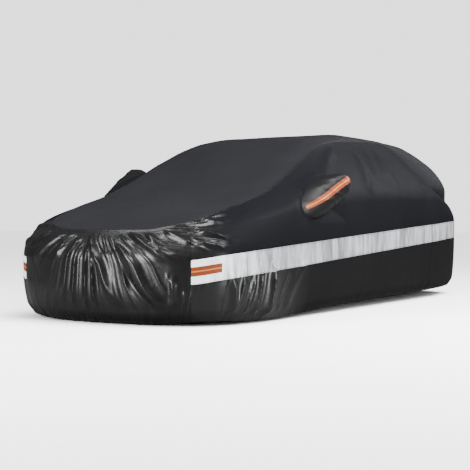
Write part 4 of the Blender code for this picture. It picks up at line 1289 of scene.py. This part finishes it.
class COVER_OT_panels(bpy.types.Operator):
    """Sew the top, front and rear panels"""

    bl_idname = "cover.panels"
    bl_label = "Panels"

    def execute(self, context):
        source = cover()
        across, along = running_length(source.top, 1), running_length(source.top, 0)
        across = across - across[:, across.shape[1] // 2][:, None]
        relief = ridges(across / PUCKER_PITCH, along * PUCKER_WANDER, PUCKER_SEED) * PUCKER_HEIGHT
        relief = relief * np.exp(-along / PUCKER_REACH)
        for sway in SWAYS:
            relief += sway.height * soft_noise(along * sway.along, across * sway.across, sway.seed)
        edge = edge_distance(source.top, ALL_ROUND)
        relief *= smooth_step(edge / FLAT_BORDER)
        outer = trim(source.top + source.top_normals * relief[..., None], source.top_in, ALL_ROUND)
        cloth = np.stack([across, along], axis=-1)
        attributes = {"edge": edge, "gloss": np.zeros(edge.shape)}
        uvs = {"Cloth": cloth, "Folds": cloth}
        top = sheet_mesh("cloth_top_panel", outer, source.top_in, uvs, attributes)
        dress(top, cloth_material("matte"), "top_panel")
        for stretch, finish in (("front", "glossy"), ("rear", "side")):
            name = f"{stretch}_panel"
            add_sheet(name, name, source.wall_sheet(stretch, 0, source.last_row), ABOVE_HEM, finish)
        return {"FINISHED"}


class COVER_OT_sides(bpy.types.Operator):
    """Sew the upper panels, silver strips and skirts of both sides"""

    bl_idname = "cover.sides"
    bl_label = "Sides"

    def execute(self, context):
        source = cover()
        top, bottom, last = source.strip_top, source.strip_bottom, source.last_row
        for side in ("left", "right"):
            strip, skirt = source.wall_sheet(side, top, bottom), source.wall_sheet(side, bottom, last)
            add_sheet(f"strip_{side}", "strip", strip, ALL_ROUND, "silver", first_row=top)
            add_sheet(f"skirt_{side}", "skirt", skirt, ABOVE_HEM, "skirt", first_row=bottom)
            pouch = pocket_parts(side)
            opened = {"hole": pouch.hole, "trimmed": pouch.upper}
            add_sheet(f"upper_{side}", "upper", pouch.sheet, ALL_ROUND, "side", **opened)
        return {"FINISHED"}


class COVER_OT_pockets(bpy.types.Operator):
    """Sew the two mirror pockets and their reflective tapes"""

    bl_idname = "cover.pockets"
    bl_label = "Mirror pockets"

    def execute(self, context):
        refine = cover().refine
        band = np.s_[TAPE_ROW * refine : (TAPE_ROW + 1) * refine + 1, refine:-refine]
        for side in ("left", "right"):
            pouch = pocket_parts(side)
            edge = edge_distance(pouch.points, ALL_ROUND)
            uv = np.stack([running_length(pouch.points, 1), -running_length(pouch.points, 0)], axis=-1)
            uvs = {"Cloth": uv, "Folds": uv[..., ::-1]}
            attributes = {"edge": edge, "gloss": np.ones(edge.shape)}
            name = f"mirror_pocket_{side}"
            obj = sheet_mesh(f"cloth_{name}", pouch.points, pouch.steps, uvs, attributes)
            dress(obj, cloth_material("pocket"), name)
            add_tape(f"mirror_tape_{side}", pouch.points[band], pouch.normals[band])
        return {"FINISHED"}


class COVER_OT_patches(bpy.types.Operator):
    """Sew the orange patches at the ends of the strips"""

    bl_idname = "cover.patches"
    bl_label = "Patches"

    def execute(self, context):
        source = cover()
        refine = source.refine
        rows = slice(PATCH_ROW * refine, (PATCH_ROW + 1) * refine + 1)
        ends = {
            "front": slice(0, PATCH_CELLS_FRONT * refine + 1),
            "rear": slice(-PATCH_CELLS_REAR * refine - 1, None),
        }
        for side in ("left", "right"):
            strip = source.wall_sheet(side, source.strip_top, source.strip_bottom, from_front=True)
            for end, columns in ends.items():
                seat, normals = strip.outer[rows, columns], strip.normals[rows, columns]
                add_tape(f"patch_{end}_{side}", seat, normals)
        return {"FINISHED"}


class COVER_OT_stitches(bpy.types.Operator):
    """Sew rows of stitches beside the top seam, along both edges of each silver strip and above the hem"""

    bl_idname = "cover.stitches"
    bl_label = "Stitches"

    def execute(self, context):
        source = cover()
        inset = source.sizes.stitch_inset
        paths = []
        for row, offset in ((0, inset), (source.last_row, -HEM_INSETS * inset)):
            line = line_below(row, offset)
            paths.append(np.concatenate([line, line[:1]]))
        for row, offset in ((source.strip_top, inset), (source.strip_bottom, -inset)):
            line = line_below(row, offset)
            for start, stop in (source.span["left"], source.span["right"]):
                paths.append(line[start : stop + 1])
        obj = stitch_rows("stitches", paths)
        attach(obj, "root")
        return {"FINISHED"}


# ---------------------------------------------------------------- stitches

# Stitches: how many insets the hem's row lies above the hem, how far a row stands out of the cloth
# as a share of the thread's radius, half a stitch as a share of the pitch, and the thread's sides
HEM_INSETS = 2.5
THREAD_LIFT = 0.8
HALF_STITCH = 0.36
THREAD_SIDES = 4
THREAD_RINGS = 3


def line_below(row, offset):
    """The wall's points a fixed way below a sewn row, just outside the cloth."""
    source = cover()
    raised = source.wall + source.normals * source.sizes.thread_radius * THREAD_LIFT
    rows = np.arange(source.last_row + 1)
    place = np.array([np.interp(depth[row] + offset, depth, rows) for depth in source.down.T])
    i = np.minimum(place.astype(int), source.last_row - 1)
    f = (place - i)[:, None]
    columns = np.arange(len(place))
    return raised[i, columns] * (1 - f) + raised[i + 1, columns] * f


def stitch_tree(material):
    """Geometry nodes that lay thread stitches along the edges of a mesh."""
    tree = bpy.data.node_groups.new("stitches", "GeometryNodeTree")
    for name, kind in (("Geometry", "Geometry"), ("Pitch", "Float"), ("Radius", "Float")):
        tree.interface.new_socket(name, in_out="INPUT", socket_type=f"NodeSocket{kind}")
    tree.interface.new_socket("Geometry", in_out="OUTPUT", socket_type="NodeSocketGeometry")
    kinds = {
        "given": "NodeGroupInput",
        "curve": "GeometryNodeMeshToCurve",
        "points": "GeometryNodeCurveToPoints",
        "half": "ShaderNodeMath",
        "size": "ShaderNodeCombineXYZ",
        "ball": "GeometryNodeMeshUVSphere",
        "stitch": "GeometryNodeTransform",
        "row": "GeometryNodeInstanceOnPoints",
        "real": "GeometryNodeRealizeInstances",
        "paint": "GeometryNodeSetMaterial",
        "made": "NodeGroupOutput",
    }
    nodes = {name: tree.nodes.new(kind) for name, kind in kinds.items()}
    nodes["points"].mode = "LENGTH"
    nodes["half"].operation = "MULTIPLY"
    nodes["half"].inputs[1].default_value = HALF_STITCH
    nodes["ball"].inputs["Segments"].default_value = THREAD_SIDES
    nodes["ball"].inputs["Rings"].default_value = THREAD_RINGS
    nodes["paint"].inputs["Material"].default_value = material
    links = (
        ("given", "Geometry", "curve", "Mesh"),
        ("given", "Pitch", "points", "Length"),
        ("given", "Pitch", "half", "Value"),
        ("given", "Radius", "size", "X"),
        ("given", "Radius", "size", "Y"),
        ("half", "Value", "size", "Z"),
        ("curve", "Curve", "points", "Curve"),
        ("ball", "Mesh", "stitch", "Geometry"),
        ("size", "Vector", "stitch", "Scale"),
        ("points", "Points", "row", "Points"),
        ("points", "Rotation", "row", "Rotation"),
        ("stitch", "Geometry", "row", "Instance"),
        ("row", "Instances", "real", "Geometry"),
        ("real", "Geometry", "paint", "Geometry"),
        ("paint", "Geometry", "made", "Geometry"),
    )
    for source, output, target, socket in links:
        tree.links.new(nodes[source].outputs[output], nodes[target].inputs[socket])
    return tree


def stitch_rows(name, paths):
    """Rows of stitches along several paths, as one plain mesh."""
    points, edges = [], []
    for path in paths:
        edges += [(len(points) + i, len(points) + i + 1) for i in range(len(path) - 1)]
        points += [tuple(point - cover().origin) for point in path]
    data = bpy.data.meshes.new(name)
    data.from_pydata(points, edges, [])
    obj = add_object(name, data)
    modifier = obj.modifiers.new("stitches", "NODES")
    modifier.node_group = stitch_tree(thread_material())
    sizes = bpy.context.scene.cover_sizes
    values = {"Pitch": sizes.stitch_pitch, "Radius": sizes.thread_radius}
    for item in modifier.node_group.interface.items_tree:
        if item.item_type == "SOCKET" and item.in_out == "INPUT" and item.name in values:
            modifier[item.identifier] = values[item.name]
    bpy.context.view_layer.update()
    evaluated = obj.evaluated_get(bpy.context.evaluated_depsgraph_get())
    result = bpy.data.meshes.new_from_object(evaluated)
    obj.modifiers.clear()
    obj.data = result
    bpy.data.meshes.remove(data)
    return obj


# ---------------------------------------------------------------- stage

# The view of the photograph, in the tables' terms
VIEW_AZIMUTH = np.radians(30.33)
VIEW_ELEVATION = np.radians(1.216)
VIEW_DISTANCE = 8.508
VIEW_TARGET = Vector((0.0, 0.0, 0.6))
VIEW_AIM = Vector((-0.231, -0.135, 0.687))
LENS = 82.6
SENSOR = 36.0

# Brightness of the white surroundings, as they light the cloth and as the camera sees them
WORLD_LIGHT = 0.10
WORLD_SEEN = 2.2

# The floor: half its side, how far it lies below the hem, its
# roughness, and the share of its brightness that reaches the cloth
FLOOR_REACH = 60.0
FLOOR_DROP = 0.002
FLOOR_ROUGHNESS = 0.8
FLOOR_BOUNCE = 0.14

# The key light: where it stands in the camera's terms
# (right, away, up), how wide it looks, and its strength
KEY_FROM = (0.30, 0.10, 0.95)
KEY_WIDTH = np.radians(40.0)
KEY_STRENGTH = 8.0

Lamp = namedtuple("Lamp", "x y z width height power")

# Soft lamps, by their place in metres from the middle of
# the cover's floor, in the camera's terms: right, away, up
LAMPS = [
    Lamp(-5.0, -5.4, 2.0, 1.3, 3.8, 850.0),
    Lamp(4.2, 2.4, 3.6, 0.8, 1.6, 170.0),
    Lamp(3.2, -2.7, 3.9, 4.4, 2.4, 800.0),
    Lamp(0.1, -3.75, 4.3, 2.0, 1.6, 260.0),
    Lamp(-2.9, -2.3, 4.3, 1.6, 1.0, 130.0),
    Lamp(4.9, -4.6, 2.2, 1.6, 3.6, 650.0),
]

# The height above the floor at which the lamps aim
LAMP_AIM = 0.7


def from_view(right, away, up):
    """A direction or a place given in the camera's terms."""
    sine, cosine = np.sin(VIEW_AZIMUTH), np.cos(VIEW_AZIMUTH)
    return Vector((cosine * right - sine * away, sine * right + cosine * away, up))


def add_aimed(name, data, place, gaze):
    """A camera or a lamp that looks in a direction."""
    obj = add_object(name, data)
    obj.location = place
    obj.rotation_euler = gaze.to_track_quat("-Z", "Y").to_euler()
    return obj


def add_floor(height):
    """A plain pale floor under the cover."""
    corners = [(x * FLOOR_REACH, y * FLOOR_REACH, height) for x, y in ((-1, -1), (1, -1), (1, 1), (-1, 1))]
    data = bpy.data.meshes.new("floor")
    data.from_pydata(corners, [], [(0, 1, 2, 3)])
    n = Nodes("floor")
    colour = bpy.context.scene.cover_colours.floor
    seen = n.add("ShaderNodeLightPath", output="Is Camera Ray")
    tint = n.mix(seen, shade(colour, FLOOR_BOUNCE), shade(colour))
    data.materials.append(n.finish(Base_Color=tint, Roughness=FLOOR_ROUGHNESS))
    add_object("floor", data)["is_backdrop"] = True


def add_camera(scene):
    """The camera at the photograph's viewing angle."""
    data = bpy.data.cameras.new("view")
    data.lens, data.sensor_width = LENS, SENSOR
    origin = Vector(cover().origin)
    toward = from_view(0.0, -np.cos(VIEW_ELEVATION), np.sin(VIEW_ELEVATION))
    place = VIEW_TARGET - origin + toward * VIEW_DISTANCE
    scene.camera = add_aimed("view", data, place, VIEW_AIM - origin - place)


def add_lights(middle):
    """The soft lamps and the key light, which shows in no reflection."""
    for i, lamp in enumerate(LAMPS):
        light = bpy.data.lights.new(f"lamp_{i}", "AREA")
        light.shape, light.energy = "RECTANGLE", lamp.power
        light.size, light.size_y = lamp.width, lamp.height
        place = middle + from_view(lamp.x, lamp.y, lamp.z)
        add_aimed(f"lamp_{i}", light, place, middle + Vector((0.0, 0.0, LAMP_AIM)) - place)
    sun = bpy.data.lights.new("key", "SUN")
    sun.energy, sun.angle = KEY_STRENGTH, KEY_WIDTH
    add_aimed("key", sun, Vector(), -from_view(*KEY_FROM)).visible_glossy = False


def set_surroundings(scene):
    """White surroundings that look brighter than they light the cloth."""
    scene.world = world = bpy.data.worlds.new("studio")
    world.use_nodes = True
    tree = world.node_tree
    choice = tree.nodes.new("ShaderNodeMixShader")
    path = tree.nodes.new("ShaderNodeLightPath")
    tree.links.new(path.outputs["Is Camera Ray"], choice.inputs["Fac"])
    backgrounds = (tree.nodes["Background"], tree.nodes.new("ShaderNodeBackground"))
    for socket, background, strength in zip(choice.inputs[1:], backgrounds, (WORLD_LIGHT, WORLD_SEEN)):
        background.inputs["Color"].default_value = (1.0, 1.0, 1.0, 1.0)
        background.inputs["Strength"].default_value = strength
        tree.links.new(background.outputs["Background"], socket)
    tree.links.new(choice.outputs["Shader"], tree.nodes["World Output"].inputs["Surface"])


class COVER_OT_stage(bpy.types.Operator):
    """Set the floor, the lamps and the camera"""

    bl_idname = "cover.stage"
    bl_label = "Stage"

    def execute(self, context):
        ground = Vector(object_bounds()[0]).z - FLOOR_DROP
        add_floor(ground)
        add_camera(context.scene)
        add_lights(Vector((0.0, 0.0, ground)))
        set_surroundings(context.scene)
        return {"FINISHED"}


# ---------------------------------------------------------------- sidebar and start


class COVER_PT_panel(bpy.types.Panel):
    """The cover's operators and values in the sidebar"""

    bl_label = "Car cover"
    bl_idname = "COVER_PT_panel"
    bl_space_type = "VIEW_3D"
    bl_region_type = "UI"
    bl_category = "Car cover"

    def draw(self, context):
        layout = self.layout
        for operator in OPERATORS:
            layout.operator(operator.bl_idname)
        for group in (context.scene.cover_sizes, context.scene.cover_colours):
            box = layout.box()
            for name in group.__annotations__:
                box.prop(group, name)


OPERATORS = (
    COVER_OT_panels,
    COVER_OT_sides,
    COVER_OT_pockets,
    COVER_OT_patches,
    COVER_OT_stitches,
    COVER_OT_stage,
)
CLASSES = (CoverSizes, CoverColours, *OPERATORS, COVER_PT_panel)


def register():
    """Register every class and the scene's values."""
    for cls in CLASSES:
        bpy.utils.register_class(cls)
    bpy.types.Scene.cover_sizes = bpy.props.PointerProperty(type=CoverSizes)
    bpy.types.Scene.cover_colours = bpy.props.PointerProperty(type=CoverColours)


def unregister():
    """Take every class away again."""
    del bpy.types.Scene.cover_sizes
    del bpy.types.Scene.cover_colours
    for cls in reversed(CLASSES):
        bpy.utils.unregister_class(cls)


def main():
    """Sew the cover and set the stage."""
    register()
    bpy.ops.cover.panels()
    bpy.ops.cover.sides()
    bpy.ops.cover.pockets()
    bpy.ops.cover.patches()
    bpy.ops.cover.stitches()
    bpy.ops.cover.stage()


if __name__ == "__main__":
    main()
